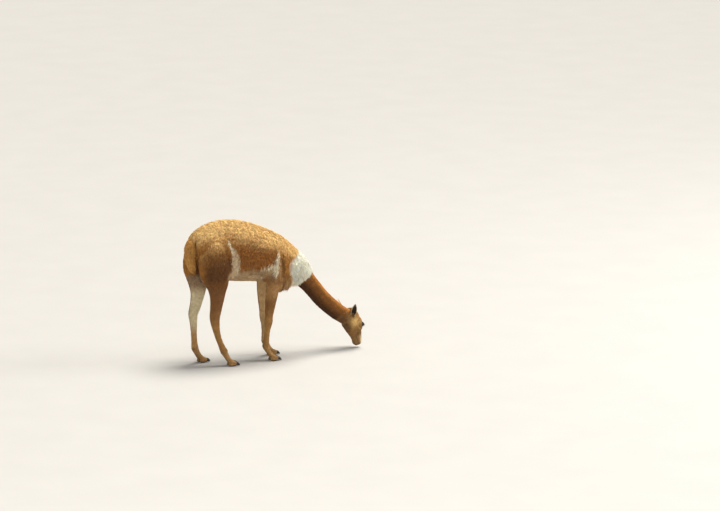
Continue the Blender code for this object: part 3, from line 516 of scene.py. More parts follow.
def cutThroat(piece, keepAhead):
    # cuts a piece at the throat, leaving the ears alone, so that head and body can be bridged
    pickOnly(piece)
    chosen = np.abs(pointsOf(piece)[:, 1]) < (0.056 if keepAhead else 1.0)
    bpy.ops.object.mode_set(mode="EDIT")
    bpy.ops.mesh.select_mode(type="VERT")
    bpy.ops.mesh.select_all(action="DESELECT")
    bpy.ops.object.mode_set(mode="OBJECT")
    piece.data.vertices.foreach_set("select", chosen)
    bpy.ops.object.mode_set(mode="EDIT")
    bpy.ops.mesh.bisect(plane_co=head["throatPoint"], plane_no=head["throatWay"],
                        clear_inner=keepAhead, clear_outer=not keepAhead)
    bpy.ops.object.mode_set(mode="OBJECT")


face, faceLines = makeFace()
faceLines = [line @ headTurn.T + np.array(head["poll"]) for line in faceLines]
face.data.transform(headPlace)
print("head formed:", len(face.data.polygons), "faces")
applyModifier(skin, "DECIMATE", ratio=body["triangles"] / (2 * len(skin.data.polygons)))
cutThroat(face, True)
cutThroat(skin, False)
skin = joinAll("hide", [skin, face])
bpy.ops.object.mode_set(mode="EDIT")
bpy.ops.mesh.select_mode(type="EDGE")
bpy.ops.mesh.select_all(action="DESELECT")
bpy.ops.mesh.select_non_manifold(extend=False, use_wire=False, use_multi_face=False, use_non_contiguous=False, use_verts=False)
bpy.ops.mesh.bridge_edge_loops()
bpy.ops.mesh.select_all(action="SELECT")
bpy.ops.mesh.quads_convert_to_tris()
bpy.ops.mesh.normals_make_consistent(inside=False)
bpy.ops.object.mode_set(mode="OBJECT")
nearThroat = skin.vertex_groups.new(name="throat")
gap = np.abs((pointsOf(skin) - np.array(head["throatPoint"])) @ np.array(head["throatWay"]))
inFront = pointsOf(skin)[:, 0] > 0.36
nearThroat.add(np.nonzero((gap < 0.012) & inFront & (np.abs(inHead(pointsOf(skin))[:, 1]) < 0.055))[0].tolist(), 1.0, "REPLACE")
applyModifier(skin, "SMOOTH", factor=0.5, iterations=12, vertex_group="throat")
skin.vertex_groups.clear()
print("skin joined:", len(skin.data.polygons), "faces")

# Markings, with painted light and shade: sRGB tones, mixed over one another by place
tones = {
    "back": (248, 206, 136), "flank": (169, 110, 49), "shoulder": (202, 142, 70), "haunch": (188, 129, 61), "tail": (222, 166, 90),
    "haunchLow": (104, 64, 30), "belly": (198, 166, 124), "white": (255, 247, 226), "fringe": (186, 150, 106),
    "neckTopLit": (206, 138, 60), "neckSide": (140, 88, 34), "neckUnderShade": (80, 48, 20), "cheek": (146, 104, 54),
    "forehead": (174, 128, 64), "jaw": (112, 76, 44), "muzzle": (134, 100, 60), "lidRimAndShade": (40, 26, 18), "muzzlePale": (208, 186, 144),
    "legOuter": (168, 123, 67), "legInner": (206, 172, 124), "hindInner": (216, 200, 162), "foot": (168, 128, 78),
    "earBack": (186, 146, 96), "earInside": (48, 34, 26), "earRim": (222, 200, 164), "lip": (58, 44, 38),
    "sole": (48, 40, 36), "groin": (234, 212, 176), "darkLine": (70, 42, 22), "shadeUnderCurtain": (96, 72, 50),
    "legHigh": (126, 82, 40), "foreHigh": (172, 128, 78), "hindInnerHigh": (176, 146, 114), "hindInnerLow": (188, 142, 86),
    "cheekPale": (222, 184, 116),
    "faceShade": (84, 56, 32), "saddle": (150, 98, 50), "cream": (250, 236, 206),
}


def toneOf(word):
    share = np.array(tones[word]) / 255
    return np.where(share <= 0.04045, share / 12.92, ((share + 0.055) / 1.055) ** 2.4)


def waves(spots, size, seed):
    # soft patches from a few crossed waves, between -1 and 1
    draw = np.random.default_rng(seed)
    total = np.zeros(len(spots))
    for _ in range(5):
        way = draw.normal(size=3)
        way *= 2 * np.pi / (size * draw.uniform(0.7, 1.4) * np.linalg.norm(way))
        total += np.sin(spots @ way + draw.uniform(0, 2 * np.pi))
    return total / 3.2


# strokes laid along paths: tone, strength, weights of x, out and z, softness, path of x, out, z and breadth
flankWeights = (1.0, 0.25, 1.0)
strokes = (
    # painted shade along the crease in front of the haunch
    ("darkLine", 0.75, flankWeights, 0.5, ((-0.398, 0.12, 0.853, 0.004), (-0.365, 0.14, 0.806, 0.007), (-0.338, 0.15, 0.756, 0.004))),
    ("groin", 0.90, flankWeights, 0.9, ((-0.345, 0.14, 0.730, 0.015), (-0.326, 0.14, 0.655, 0.024), (-0.322, 0.13, 0.575, 0.026))),
    ("cream", 0.90, flankWeights, 0.6, ((-0.382, 0.13, 0.815, 0.003), (-0.364, 0.14, 0.765, 0.008), (-0.352, 0.14, 0.705, 0.009))),
    ("cream", 0.85, flankWeights, 0.7, ((-0.354, 0.14, 0.715, 0.007), (-0.352, 0.14, 0.640, 0.005), (-0.346, 0.13, 0.570, 0.005))),
    ("cream", 0.60, flankWeights, 0.8, ((-0.345, 0.14, 0.700, 0.003), (-0.328, 0.14, 0.630, 0.0035), (-0.292, 0.13, 0.580, 0.004))),
    ("cream", 0.60, flankWeights, 0.7, ((-0.320, 0.12, 0.620, 0.004), (-0.296, 0.12, 0.580, 0.005), (-0.255, 0.11, 0.548, 0.006),
                                        (-0.135, 0.10, 0.530, 0.006))),
    # painted shadow on the belly, under the curtain of flank wool
    ("shadeUnderCurtain", 0.4, flankWeights, 0.8, ((-0.215, 0.12, 0.570, 0.012), (-0.130, 0.12, 0.562, 0.016))),
    ("cream", 0.85, flankWeights, 0.8, ((-0.036, 0.14, 0.690, 0.006), (-0.048, 0.14, 0.640, 0.016), (-0.056, 0.13, 0.580, 0.021),
                                        (-0.055, 0.12, 0.530, 0.010))),
    ("cream", 0.90, flankWeights, 0.8, ((-0.062, 0.13, 0.602, 0.014), (-0.110, 0.13, 0.596, 0.009), (-0.165, 0.13, 0.600, 0.004))),
    ("cream", 0.60, flankWeights, 0.8, ((-0.055, 0.13, 0.650, 0.004), (-0.095, 0.13, 0.622, 0.004), (-0.120, 0.13, 0.600, 0.003))),
    # painted shadow in the cleft between the tail and the haunch
    ("darkLine", 0.9, (0.5, 1.0, 0.6), 0.5, ((-0.566, 0.050, 0.800, 0.006), (-0.566, 0.050, 0.720, 0.011), (-0.560, 0.046, 0.620, 0.009))),
    ("darkLine", 0.5, flankWeights, 0.6, ((-0.010, 0.13, 0.655, 0.008), (0.000, 0.13, 0.580, 0.014), (-0.010, 0.12, 0.530, 0.010))),
    ("cream", 0.8, flankWeights, 0.5, ((0.075, 0.12, 0.560, 0.005), (0.062, 0.12, 0.500, 0.010), (0.066, 0.11, 0.450, 0.008))),
)
neckBase = np.array((0.240, 0.0, 0.446))
neckWay = unit(np.array((0.64, 0.0, -0.77)))
coatZones = {"bellyHeight": 0.605, "haunchFront": -0.350, "bibBack": 0.074}
legTables = {leg: smoothRows(legRows(leg), 4)[::-1] for leg in body["legs"]}


def alongPath(spots, table):
    # middle and girth of a limb at each height
    return [np.interp(spots[:, 2], table[:, 2], table[:, i]) for i in (0, 1, 3, 4)]


def zonesAt(spots, ways):
    x, y, z = spots.T
    side = np.where(y > 0, 1.0, -1.0)
    local = inHead(spots)
    zone = {"x": x, "y": y, "z": z, "out": np.abs(y), "local": local}
    zone["head"] = ramp(local[:, 0], -0.040, 0.004) * ramp(x, 0.40, 0.44)
    zone["alongNeck"] = (spots - neckBase) @ neckWay
    fromAxis, depth = gapTo(spots, np.array([(nx, 0, nz, nd) for nx, nz, nd, _ in body["neck"]]))
    zone["neck"] = ramp(zone["alongNeck"] + 0.006 * waves(spots, 0.06, 9), -0.098, -0.082) * (x > 0.13)
    zone["neck"] *= (1 - ramp(fromAxis / np.maximum(depth, 0.03), 0.98, 1.12)) * (1 - zone["head"])
    leg = np.where(z < 0.12, 1.0, 0.0)
    for table in legTables.values():
        cx, cy, gd, gw = alongPath(spots, table)
        q = np.hypot((x - cx) / gd, (y - cy) / gw)
        near = (1 - ramp(q, 1.30, 1.65)) * (1 - ramp(z, 0.47, 0.57)) * (cy * y > 0)
        leg = np.maximum(leg, near)
    sides = -side * ways[:, 1]
    zone["leg"] = leg
    zone["inner"] = ramp(sides, -0.15, 0.45)
    zone["front"] = ramp(x, -0.25, -0.20)
    tailTable = np.array([(tx, 0, tz, td, tw) for tx, tz, td, tw in body["tail"]])[::-1]
    cx, cy, gd, gw = alongPath(spots, tailTable)
    zone["tail"] = (1 - ramp(np.hypot((x - cx) / gd, y / gw), 0.95, 1.15)) * (x < -0.53) * ramp(z, 0.585, 0.60) * (1 - ramp(z, 0.80, 0.83))
    ear = np.zeros(len(spots))
    inside = np.zeros(len(spots))
    rim = np.zeros(len(spots))
    for earSide in (-1, 1):
        root, way, opening, across = (np.array(v) for v in earAxes(earSide))
        share = (local - root) @ way / ears["length"]
        radius = np.interp(share, [r[0] for r in ears["rows"]], [r[1] for r in ears["rows"]])
        angle = np.interp(share, [r[0] for r in ears["rows"]], [r[2] for r in ears["rows"]])
        away = (local - root) @ opening - radius
        aside = (local - root) @ across
        near = ramp(share, 0.12, 0.26) * (np.hypot(away, aside) < 0.026) * (share < 1.08)
        centreWay = unit(np.column_stack((away, aside)))
        localWays = ways @ headTurn
        facing = localWays @ opening * centreWay[:, 0] + localWays @ across * centreWay[:, 1]
        inner = near * (facing < 0)
        turned = np.degrees(np.arctan2(np.abs(aside), -away))
        ear = np.maximum(ear, near)
        inside = np.maximum(inside, inner)
        rim = np.maximum(rim, near * ramp(turned - angle, -20, -6))
    zone["ear"], zone["earInside"], zone["earRim"] = ear, inside, rim
    hem = coatZones["bellyHeight"] + 0.010 * waves(spots, 0.10, 4)
    zone["belly"] = ((1 - ramp(z, hem - 0.014, hem + 0.004)) * ramp(x, -0.40, -0.36) * (1 - ramp(x, -0.05, 0.00)) * (1 - leg))
    zone["curtain"] = (ramp(z, hem - 0.010, hem + 0.004) * (1 - ramp(z, hem + 0.040, hem + 0.075))
                       * ramp(x, -0.33, -0.30) * (1 - ramp(x, -0.11, -0.08)))
    zone["haunch"] = (1 - ramp(x, coatZones["haunchFront"] - 0.02, coatZones["haunchFront"] + 0.01)) * (1 - leg) * (1 - zone["tail"])
    # the bib: everything ahead of a line down the shoulder, but for the ridge of the neck
    line = coatZones["bibBack"] - 0.035 * np.exp(-(((z - 0.585) / 0.05) ** 2)) + 0.075 * ramp(z, 0.62, 0.68)
    line = line + 0.030 * (1 - ramp(z, 0.42, 0.50)) + 0.010 * waves(spots, 0.07, 7)
    ridge = ramp(ways[:, 2], 0.66, 0.86)
    collar = 1 - zone["neck"]
    zone["bib"] = ramp(x - line, -0.012, 0.018) * collar * (1 - ridge * (x < 0.16)) * (x < 0.32) * (z > 0.36)
    zone["strokes"] = []
    for word, strength, weights, softness, path in strokes:
        outwards = np.column_stack((x, zone["out"], z))
        gap, breadth = gapTo(outwards, np.array(path), weights)
        near = 1 - ramp(gap / np.maximum(breadth, 1e-4), 1 - softness, 1 + softness)
        zone["strokes"].append(near * (zone["out"] > 0.03) * (leg < 0.5))
    zone["crease"] = np.max([share for share, stroke in zip(zone["strokes"], strokes) if stroke[0] == "darkLine"], axis=0)
    zone["wisps"] = np.max([share for share, stroke in zip(zone["strokes"], strokes) if stroke[0] == "cream"], axis=0)
    eyeGap = [np.linalg.norm(local - np.array(eyeAxes(eyeSide)[0]), axis=1) for eyeSide in (-1, 1)]
    zone["eyeGap"] = np.minimum(*eyeGap)
    zone["lipGap"] = np.min([gapTo(spots, line)[0] for line in faceLines[:6]], axis=0)
    zone["lidGap"] = np.full(len(spots), 9.0)
    for eyeSide in (-1, 1):
        centre, look, forwards, across = (np.array(v) for v in eyeAxes(eyeSide))
        ray = unit(local - centre)
        opening, _ = lidOpening(np.arctan2(ray @ across, ray @ forwards), across)
        beyond = (np.arccos(np.clip(ray @ look, -1, 1)) - opening) * eyes["radius"]
        near = (zone["eyeGap"] < 0.024) & (local[:, 1] * eyeSide > 0)
        zone["lidGap"] = np.where(near, beyond, zone["lidGap"])
    zone["fringe"] = ramp(x, -0.02, 0.02) * (1 - ramp(x, 0.07, 0.10)) * (1 - ramp(z, 0.47, 0.55)) * (1 - leg)
    return zone


def markingsLightAndShadeAt(spots, ways):
    # linear tones of coat and skin, with painted light and shade, from the same zones
    zone = zonesAt(spots, ways)
    x, z, local = zone["x"], zone["z"], zone["local"]
    colour = np.tile(toneOf("flank"), (len(spots), 1))

    def over(word, share):
        nonlocal colour
        share = np.clip(share, 0, 1)[:, None]
        colour = colour * (1 - share) + toneOf(word) * share

    upward = ways[:, 2]
    over("shoulder", ramp(x, -0.10, 0.02))
    over("haunch", zone["haunch"])
    # the lower haunch is darker: partly its own darker hair, partly painted shade on its lower half
    over("haunchLow", zone["haunch"] * (1 - ramp(z + 0.02 * waves(spots, 0.08, 8), 0.61, 0.80)) * ramp(x, -0.56, -0.50) * 0.9)
    # the back's paler tone lies on upward-facing surfaces along the top line: partly the wool's own paler top, partly
    # painted top light
    topLine = np.interp(x, *np.array([row[:2] for row in body["trunk"]]).T)
    over("back", ramp(upward + 0.14 * waves(spots, 0.10, 3), 0.06, 0.72) * ramp(z - topLine, -0.22, -0.13))
    over("saddle", np.clip(waves(spots, 0.040, 31) - 0.3, 0, 1) * ramp(z, 0.70, 0.80) * 0.4)
    over("tail", zone["tail"])
    over("belly", zone["belly"])
    over("fringe", zone["fringe"] * 0.85)
    over("white", zone["bib"])
    over("fringe", zone["bib"] * (1 - ramp(z, 0.44, 0.54)) * 0.35)
    streaks = 0.35 * waves(spots * (1, 1, 0.35), 0.012, 33)
    for (word, strength, _, _, _), share in zip(strokes, zone["strokes"]):
        over(word, ramp(share + streaks * np.minimum(share * 8, 1), 0.18, 0.82) * strength)
    neck = zone["neck"]
    # painted light and shade on the neck: paler where it faces up and forwards, dark on its underside
    around = ways @ np.array((0.77, 0.0, 0.64))
    over("neckSide", neck)
    over("neckTopLit", neck * ramp(around, 0.25, 0.85))
    over("neckUnderShade", neck * (1 - ramp(around, -0.65, 0.1)) * 0.9)
    over("hindInnerHigh", (1 - zone["front"]) * zone["inner"] * ramp(zone["leg"] + (1 - ramp(z, 0.52, 0.60)), 0.3, 0.8) * (1 - zone["tail"]) * (x < -0.30))
    leg = zone["leg"]
    over("legHigh", leg * (1 - zone["inner"]))
    over("foreHigh", leg * zone["front"] * (1 - zone["inner"]) * ramp(z, 0.36, 0.44))
    over("legOuter", leg * (1 - zone["inner"]) * (1 - ramp(z, 0.20, 0.42)))
    over("legInner", leg * zone["inner"] * zone["front"])
    hind = leg * zone["inner"] * (1 - zone["front"])
    over("hindInnerHigh", hind)
    over("hindInner", hind * (1 - ramp(z, 0.42, 0.50)))
    over("hindInnerLow", hind * (1 - ramp(z, 0.16, 0.27)))
    over("foot", 1 - ramp(z, 0.05, 0.12))
    over("sole", (1 - ramp(z, 0.004, 0.008)) * (upward < 0.3))
    skull = zone["head"]
    lx, lz = local[:, 0], local[:, 2]
    over("cheek", skull)
    over("forehead", skull * ramp(lz, 0.010, 0.034))
    over("jaw", skull * (1 - ramp(lz + 0.10 * np.clip(lx - 0.09, -1, 0.06), -0.066, -0.048)) * 0.9)
    over("cheekPale", skull * np.exp(-(((lx - 0.044) / 0.036) ** 2 + ((lz + 0.026) / 0.030) ** 2)) * 0.9)
    over("muzzle", skull * ramp(lx, 0.095, 0.160) * 0.85)
    over("cheekPale", skull * ramp(lx, 0.085, 0.110) * ramp(lz, 0.020, 0.030) * 0.7)
    over("muzzlePale", skull * ramp(lx, 0.140, 0.185) * ramp(lz, -0.006, 0.008))
    # painted shade: a dark line along the side of the nose, and a dark patch behind and under the ear roots
    over("faceShade", skull * np.exp(-(((lz - 0.012) / 0.006) ** 2)) * ramp(lx, 0.096, 0.106) * (1 - ramp(lx, 0.140, 0.160))
         * ramp(np.abs(local[:, 1]), 0.012, 0.020) * 0.65)
    over("faceShade", skull * np.exp(-(((lx + 0.018) / 0.016) ** 2 + ((lz + 0.022) / 0.018) ** 2)) * 0.5)
    over("cheekPale", skull * np.exp(-(((zone["eyeGap"] - 0.027) / 0.005) ** 2)) * (lz < 0.050) * 0.45)
    over("lidRimAndShade", skull * (1 - ramp(zone["lidGap"], 0.0012, 0.0045)))
    # painted shadow: a dark line runs back from the eye's rear corner, under the brow; another dark line runs down from
    # its front corner
    halfFace = np.column_stack((lx, np.abs(local[:, 1]), lz))
    over("lidRimAndShade", skull * (1 - ramp(gapTo(halfFace, np.array(eyes["browShadowLine"]))[0], 0.0015, 0.0050)) * 0.8)
    over("lidRimAndShade", skull * (1 - ramp(gapTo(halfFace, np.array(eyes["frontCornerLine"]))[0], 0.0012, 0.0040)) * 0.7)
    lip = zone["lipGap"]
    over("lip", skull * (1 - ramp(lip, 0.0010, 0.0034)))
    over("earBack", zone["ear"])
    # the inside of the ear cup is painted near black: partly its own tone, partly painted shade in the cup
    over("earInside", zone["earInside"])
    over("earRim", zone["earRim"] * 0.8)
    colour *= (1 + 0.07 * waves(spots, 0.05, 21) + 0.05 * waves(spots, 0.014, 22))[:, None]
    return np.clip(colour, 0.003, 0.95), zone


def paint(piece, colour):
    layer = piece.data.color_attributes.new(name="tone", type="FLOAT_COLOR", domain="POINT")
    layer.data.foreach_set("color", np.column_stack((colour, np.ones(len(colour)))).astype(np.float32).ravel())


def shaderOf(look):
    return look.node_tree.nodes["Principled BSDF"]


def newLook(name, roughness):
    look = bpy.data.materials.new(name)
    look.use_nodes = True
    shaderOf(look).inputs["Roughness"].default_value = roughness
    shaderOf(look).inputs["Specular IOR Level"].default_value = 0.3
    return look


def addNode(look, kind, **settings):
    node = look.node_tree.nodes.new(kind)
    for setting, value in settings.items():
        setattr(node, setting, value)
    return node


def hairLook(name, roughness, sheen, bumpScale, bumpStrength):
    # the painted tone, mottled by two noises, with a fine bump
    look = newLook(name, roughness)
    link = look.node_tree.links.new
    shader = shaderOf(look)
    shader.inputs["Sheen Weight"].default_value = sheen
    shader.inputs["Sheen Roughness"].default_value = 0.45
    shader.inputs["Sheen Tint"].default_value = (1.0, 0.86, 0.66, 1.0)
    place = addNode(look, "ShaderNodeTexCoord")
    tone = addNode(look, "ShaderNodeAttribute", attribute_name="tone")
    coarse = addNode(look, "ShaderNodeTexNoise")
    coarse.inputs["Scale"].default_value = 60
    coarse.inputs["Detail"].default_value = 4
    fine = addNode(look, "ShaderNodeTexNoise")
    fine.inputs["Scale"].default_value = bumpScale
    fine.inputs["Detail"].default_value = 6
    spread = addNode(look, "ShaderNodeMapRange")
    spread.inputs["From Min"].default_value = 0.3
    spread.inputs["From Max"].default_value = 0.7
    spread.inputs["To Min"].default_value = 0.86
    spread.inputs["To Max"].default_value = 1.10
    shade = addNode(look, "ShaderNodeVectorMath", operation="SCALE")
    bump = addNode(look, "ShaderNodeBump")
    bump.inputs["Strength"].default_value = bumpStrength
    bump.inputs["Distance"].default_value = 0.001
    link(place.outputs["Object"], coarse.inputs["Vector"])
    link(place.outputs["Object"], fine.inputs["Vector"])
    link(coarse.outputs["Fac"], spread.inputs["Value"])
    link(tone.outputs["Color"], shade.inputs[0])
    link(spread.outputs["Result"], shade.inputs["Scale"])
    link(shade.outputs["Vector"], shader.inputs["Base Color"])
    link(fine.outputs["Fac"], bump.inputs["Height"])
    link(bump.outputs["Normal"], shader.inputs["Normal"])
    return look


skinLook = hairLook("short nap", 0.80, 0.05, 420, 0.5)
woolLook = hairLook("wool", 0.88, 0.08, 700, 0.3)
skinTones, skinZones = markingsLightAndShadeAt(pointsOf(skin), normalsOf(skin))
# painted shade: the skin under the coat is darker than the coat's tone, most under the long wool
paint(skin, skinTones * (0.94 - 0.16 * (1 - np.maximum.reduce([skinZones["leg"], skinZones["head"], skinZones["bib"]])))[:, None])
skin.data.materials.clear()
skin.data.materials.append(skinLook)
pickOnly(skin)
bpy.ops.object.shade_smooth()
print("skin painted")

# The skin's own unwrap, made on a thinned copy, gives each tuft its place in OFBake
unwrapped = skin.copy()
unwrapped.data = skin.data.copy()
bpy.context.scene.collection.objects.link(unwrapped)
applyModifier(unwrapped, "DECIMATE", ratio=0.04)
pickOnly(unwrapped)
bpy.ops.object.mode_set(mode="EDIT")
bpy.ops.mesh.select_all(action="SELECT")
bpy.ops.mesh.quads_convert_to_tris()
bpy.ops.uv.smart_project(angle_limit=math.radians(66), island_margin=0.004)
bpy.ops.object.mode_set(mode="OBJECT")
unwrapTree = BVHTree.FromPolygons([v.co for v in unwrapped.data.vertices], [p.vertices[:] for p in unwrapped.data.polygons])
unwrapCorners = np.array([p.vertices[:] for p in unwrapped.data.polygons])
unwrapSpots = pointsOf(unwrapped)
unwrapPlaces = np.empty(len(unwrapped.data.loops) * 2)
unwrapped.data.uv_layers.active.data.foreach_get("uv", unwrapPlaces)
unwrapPlaces = unwrapPlaces.reshape(-1, 3, 2)
bpy.data.objects.remove(unwrapped, do_unlink=True)
print("unwrap made:", len(unwrapCorners), "faces")


def bakePlaces(spots):
    found = [unwrapTree.find_nearest(spot) for spot in spots.tolist()]
    faces = np.array([hit[2] for hit in found])
    spots = np.array([hit[0] for hit in found])
    a, b, c = (unwrapSpots[unwrapCorners[faces, i]] for i in range(3))
    total = np.linalg.norm(np.cross(b - a, c - a), axis=1) + 1e-12
    shareA = np.linalg.norm(np.cross(b - spots, c - spots), axis=1) / total
    shareB = np.linalg.norm(np.cross(c - spots, a - spots), axis=1) / total
    shares = np.clip(np.column_stack((shareA, shareB, 1 - shareA - shareB)), 0, 1)
    return np.einsum("ij,ijk->ik", shares, unwrapPlaces[faces])


# Coat
coat = {
    "seed": 20,
    # spacing between roots, length, width, lift in degrees, curl, clumping, droop
    "wool": (0.0037, 0.029, 0.0035, 24, 0.14, 0.52, 0.30),
    "haunch": (0.0037, 0.026, 0.0035, 22, 0.14, 0.52, 0.25),
    "curtain": (0.0038, 0.048, 0.0036, 16, 0.12, 0.55, 0.60),
    "tail": (0.0038, 0.034, 0.0038, 28, 0.18, 0.60, 0.40),
    "neck": (0.0033, 0.020, 0.0028, 15, 0.12, 0.35, 0.05),
    "belly": (0.0046, 0.017, 0.0032, 13, 0.06, 0.30, 0.10),
    "bib": (0.0042, 0.052, 0.0042, 25, 0.12, 0.65, 0.55),
    "wisp": (0.0042, 0.046, 0.0036, 28, 0.16, 0.60, 0.45),
    "leg": (0.0039, 0.0150, 0.0030, 12, 0.03, 0.12, 0.0),
    "foot": (0.0034, 0.0100, 0.0023, 13, 0.02, 0.10, 0.0),
    "head": (0.0022, 0.0120, 0.0019, 8, 0.03, 0.10, 0.0),
    "muzzle": (0.0020, 0.0056, 0.0014, 5, 0.02, 0.05, 0.0),
    "ear": (0.0025, 0.0090, 0.0018, 10, 0.03, 0.10, 0.0),
    "clumpSize": 0.0090,
    "lie": {"trunk": (-0.60, 0.0, -0.80), "haunch": (-0.22, 0.0, -1.0), "belly": (-0.85, 0.0, -0.35),
            "neck": (-0.70, 0.0, 0.55), "leg": (-0.03, 0.0, -1.0), "foot": (0.55, 0.0, -0.80),
            "tail": (-0.10, 0.0, -1.0), "bib": (-0.12, 0.0, -1.0), "wisp": (-0.55, 0.0, -0.85)},
}


nails = {
    # forward, out, height, half depth and half width of one nail
    "rows": ((0.070, 0.0180, 0.0175, 0.0118, 0.0098), (0.079, 0.0180, 0.0150, 0.0108, 0.0088),
             (0.087, 0.0178, 0.0112, 0.0082, 0.0066), (0.094, 0.0172, 0.0070, 0.0048, 0.0038),
             (0.098, 0.0168, 0.0045, 0.0022, 0.0018)),
    "lowest": 0.0012,
    "growthRings": 0.00028,
}


def coatAt(zone):
    # settings and lie at each spot, blended from zone to zone
    count = len(zone["x"])
    values = np.tile(np.array(coat["wool"]), (count, 1))
    lie = np.tile(np.array(coat["lie"]["trunk"]), (count, 1))

    def over(word, share, way=None):
        nonlocal values, lie
        share = np.clip(share, 0, 1)[:, None]
        values = values * (1 - share) + np.array(coat[word]) * share
        if way is not None:
            lie = lie * (1 - share) + way * share

    lies = {word: unit(np.array(way)) for word, way in coat["lie"].items()}
    over("haunch", zone["haunch"], lies["haunch"])
    over("belly", zone["belly"], lies["belly"])
    over("bib", zone["bib"], lies["bib"])
    over("bib", zone["fringe"] * 0.7, lies["bib"])
    over("curtain", zone["curtain"], lies["bib"])
    over("wisp", zone["wisps"], lies["wisp"])
    over("neck", zone["neck"], lies["neck"])
    over("tail", zone["tail"], lies["tail"])
    over("leg", zone["leg"], lies["leg"])
    over("foot", 1 - ramp(zone["z"], 0.06, 0.11), lies["foot"])
    over("head", zone["head"], -headTurn[:, 0] + 0.15 * headTurn[:, 2])
    over("muzzle", zone["head"] * ramp(zone["local"][:, 0], 0.13, 0.18))
    for side in (-1, 1):
        earWay = headTurn @ np.array(earAxes(side)[1])
        over("ear", zone["ear"] * (zone["y"] * side > 0), earWay)
    values[:, 1:3] *= (0.5 + 0.5 * ramp(zone["eyeGap"], 0.018, 0.034))[:, None]
    values[:, 1] *= 1 - 0.5 * zone["crease"]
    values[:, 1] *= 1 - 0.45 * zone["bib"] * ramp(zone["alongNeck"], -0.12, -0.09)
    return values, lie


def scatterRoots():
    skin.data.calc_loop_triangles()
    corners = np.empty(len(skin.data.loop_triangles) * 3, int)
    skin.data.loop_triangles.foreach_get("vertices", corners)
    corners = corners.reshape(-1, 3)
    spots, ways = pointsOf(skin), normalsOf(skin)
    a, b, c = (spots[corners[:, i]] for i in range(3))
    areas = np.linalg.norm(np.cross(b - a, c - a), axis=1) / 2
    values, _ = coatAt(skinZones)
    spacing = values[corners, 0].mean(axis=1)
    wanted = areas / spacing**2
    # none under the eyes, on the soles or inside the nails
    middles = (a + b + c) / 3
    bare = (skinZones["lidGap"] < 0.0022) | (skinZones["lipGap"] < 0.0016)
    wanted[bare[corners].any(axis=1)] = 0
    wanted[middles[:, 2] < 0.006] = 0
    for leg in body["legs"]:
        forward = (middles - footPlace(leg).translation) @ np.array(footPlace(leg).to_3x3())[:, 0]
        wanted[(forward > nails["rows"][0][0] - 0.001) & (forward < 0.12) & (middles[:, 2] < 0.034)
               & (np.abs(middles[:, 1] - footPlace(leg).translation[1]) < 0.05)] = 0
    draw = np.random.default_rng(coat["seed"])
    edges = np.cumsum(wanted)
    chosen = np.searchsorted(edges, np.sort(draw.uniform(0, edges[-1], int(edges[-1]))))
    u, v = draw.uniform(size=(2, len(chosen)))
    folded = u + v > 1
    u[folded], v[folded] = 1 - u[folded], 1 - v[folded]
    w = 1 - u - v
    shares = np.column_stack((u, v, w))
    roots = np.einsum("ij,ijk->ik", shares, spots[corners[chosen]])
    rootWays = unit(np.einsum("ij,ijk->ik", shares, ways[corners[chosen]]))
    return roots, rootWays


def clumpTips(roots, ways, lies, values, draw):
    # each root leans towards the tip of the clump that it stands nearest to
    size = coat["clumpSize"]
    chance = np.clip((values[:, 0] / size) ** 2, 0, 1)
    seeds = np.nonzero(draw.uniform(size=len(roots)) < chance)[0]
    tree = KDTree(len(seeds))
    for i, seed in enumerate(seeds):
        tree.insert(roots[seed], i)
    tree.balance()
    owner = seeds[np.array([tree.find(spot)[1] for spot in roots.tolist()])]
    bend = draw.normal(scale=0.35, size=(len(roots), 3))
    lift = np.radians(values[owner, 3] * 0.9)[:, None]
    heading = unit(lies[owner] + bend[owner] * 0.8)
    heading = unit(heading - (heading * ways[owner]).sum(1, keepdims=True) * ways[owner])
    reach = values[owner, 1][:, None] * (0.85 + 0.25 * draw.uniform(size=len(roots))[owner][:, None])
    tips = roots[owner] + reach * (np.cos(lift) * heading + np.sin(lift) * ways[owner])
    shade = draw.normal(scale=1.0, size=len(roots))[owner]
    return tips, shade


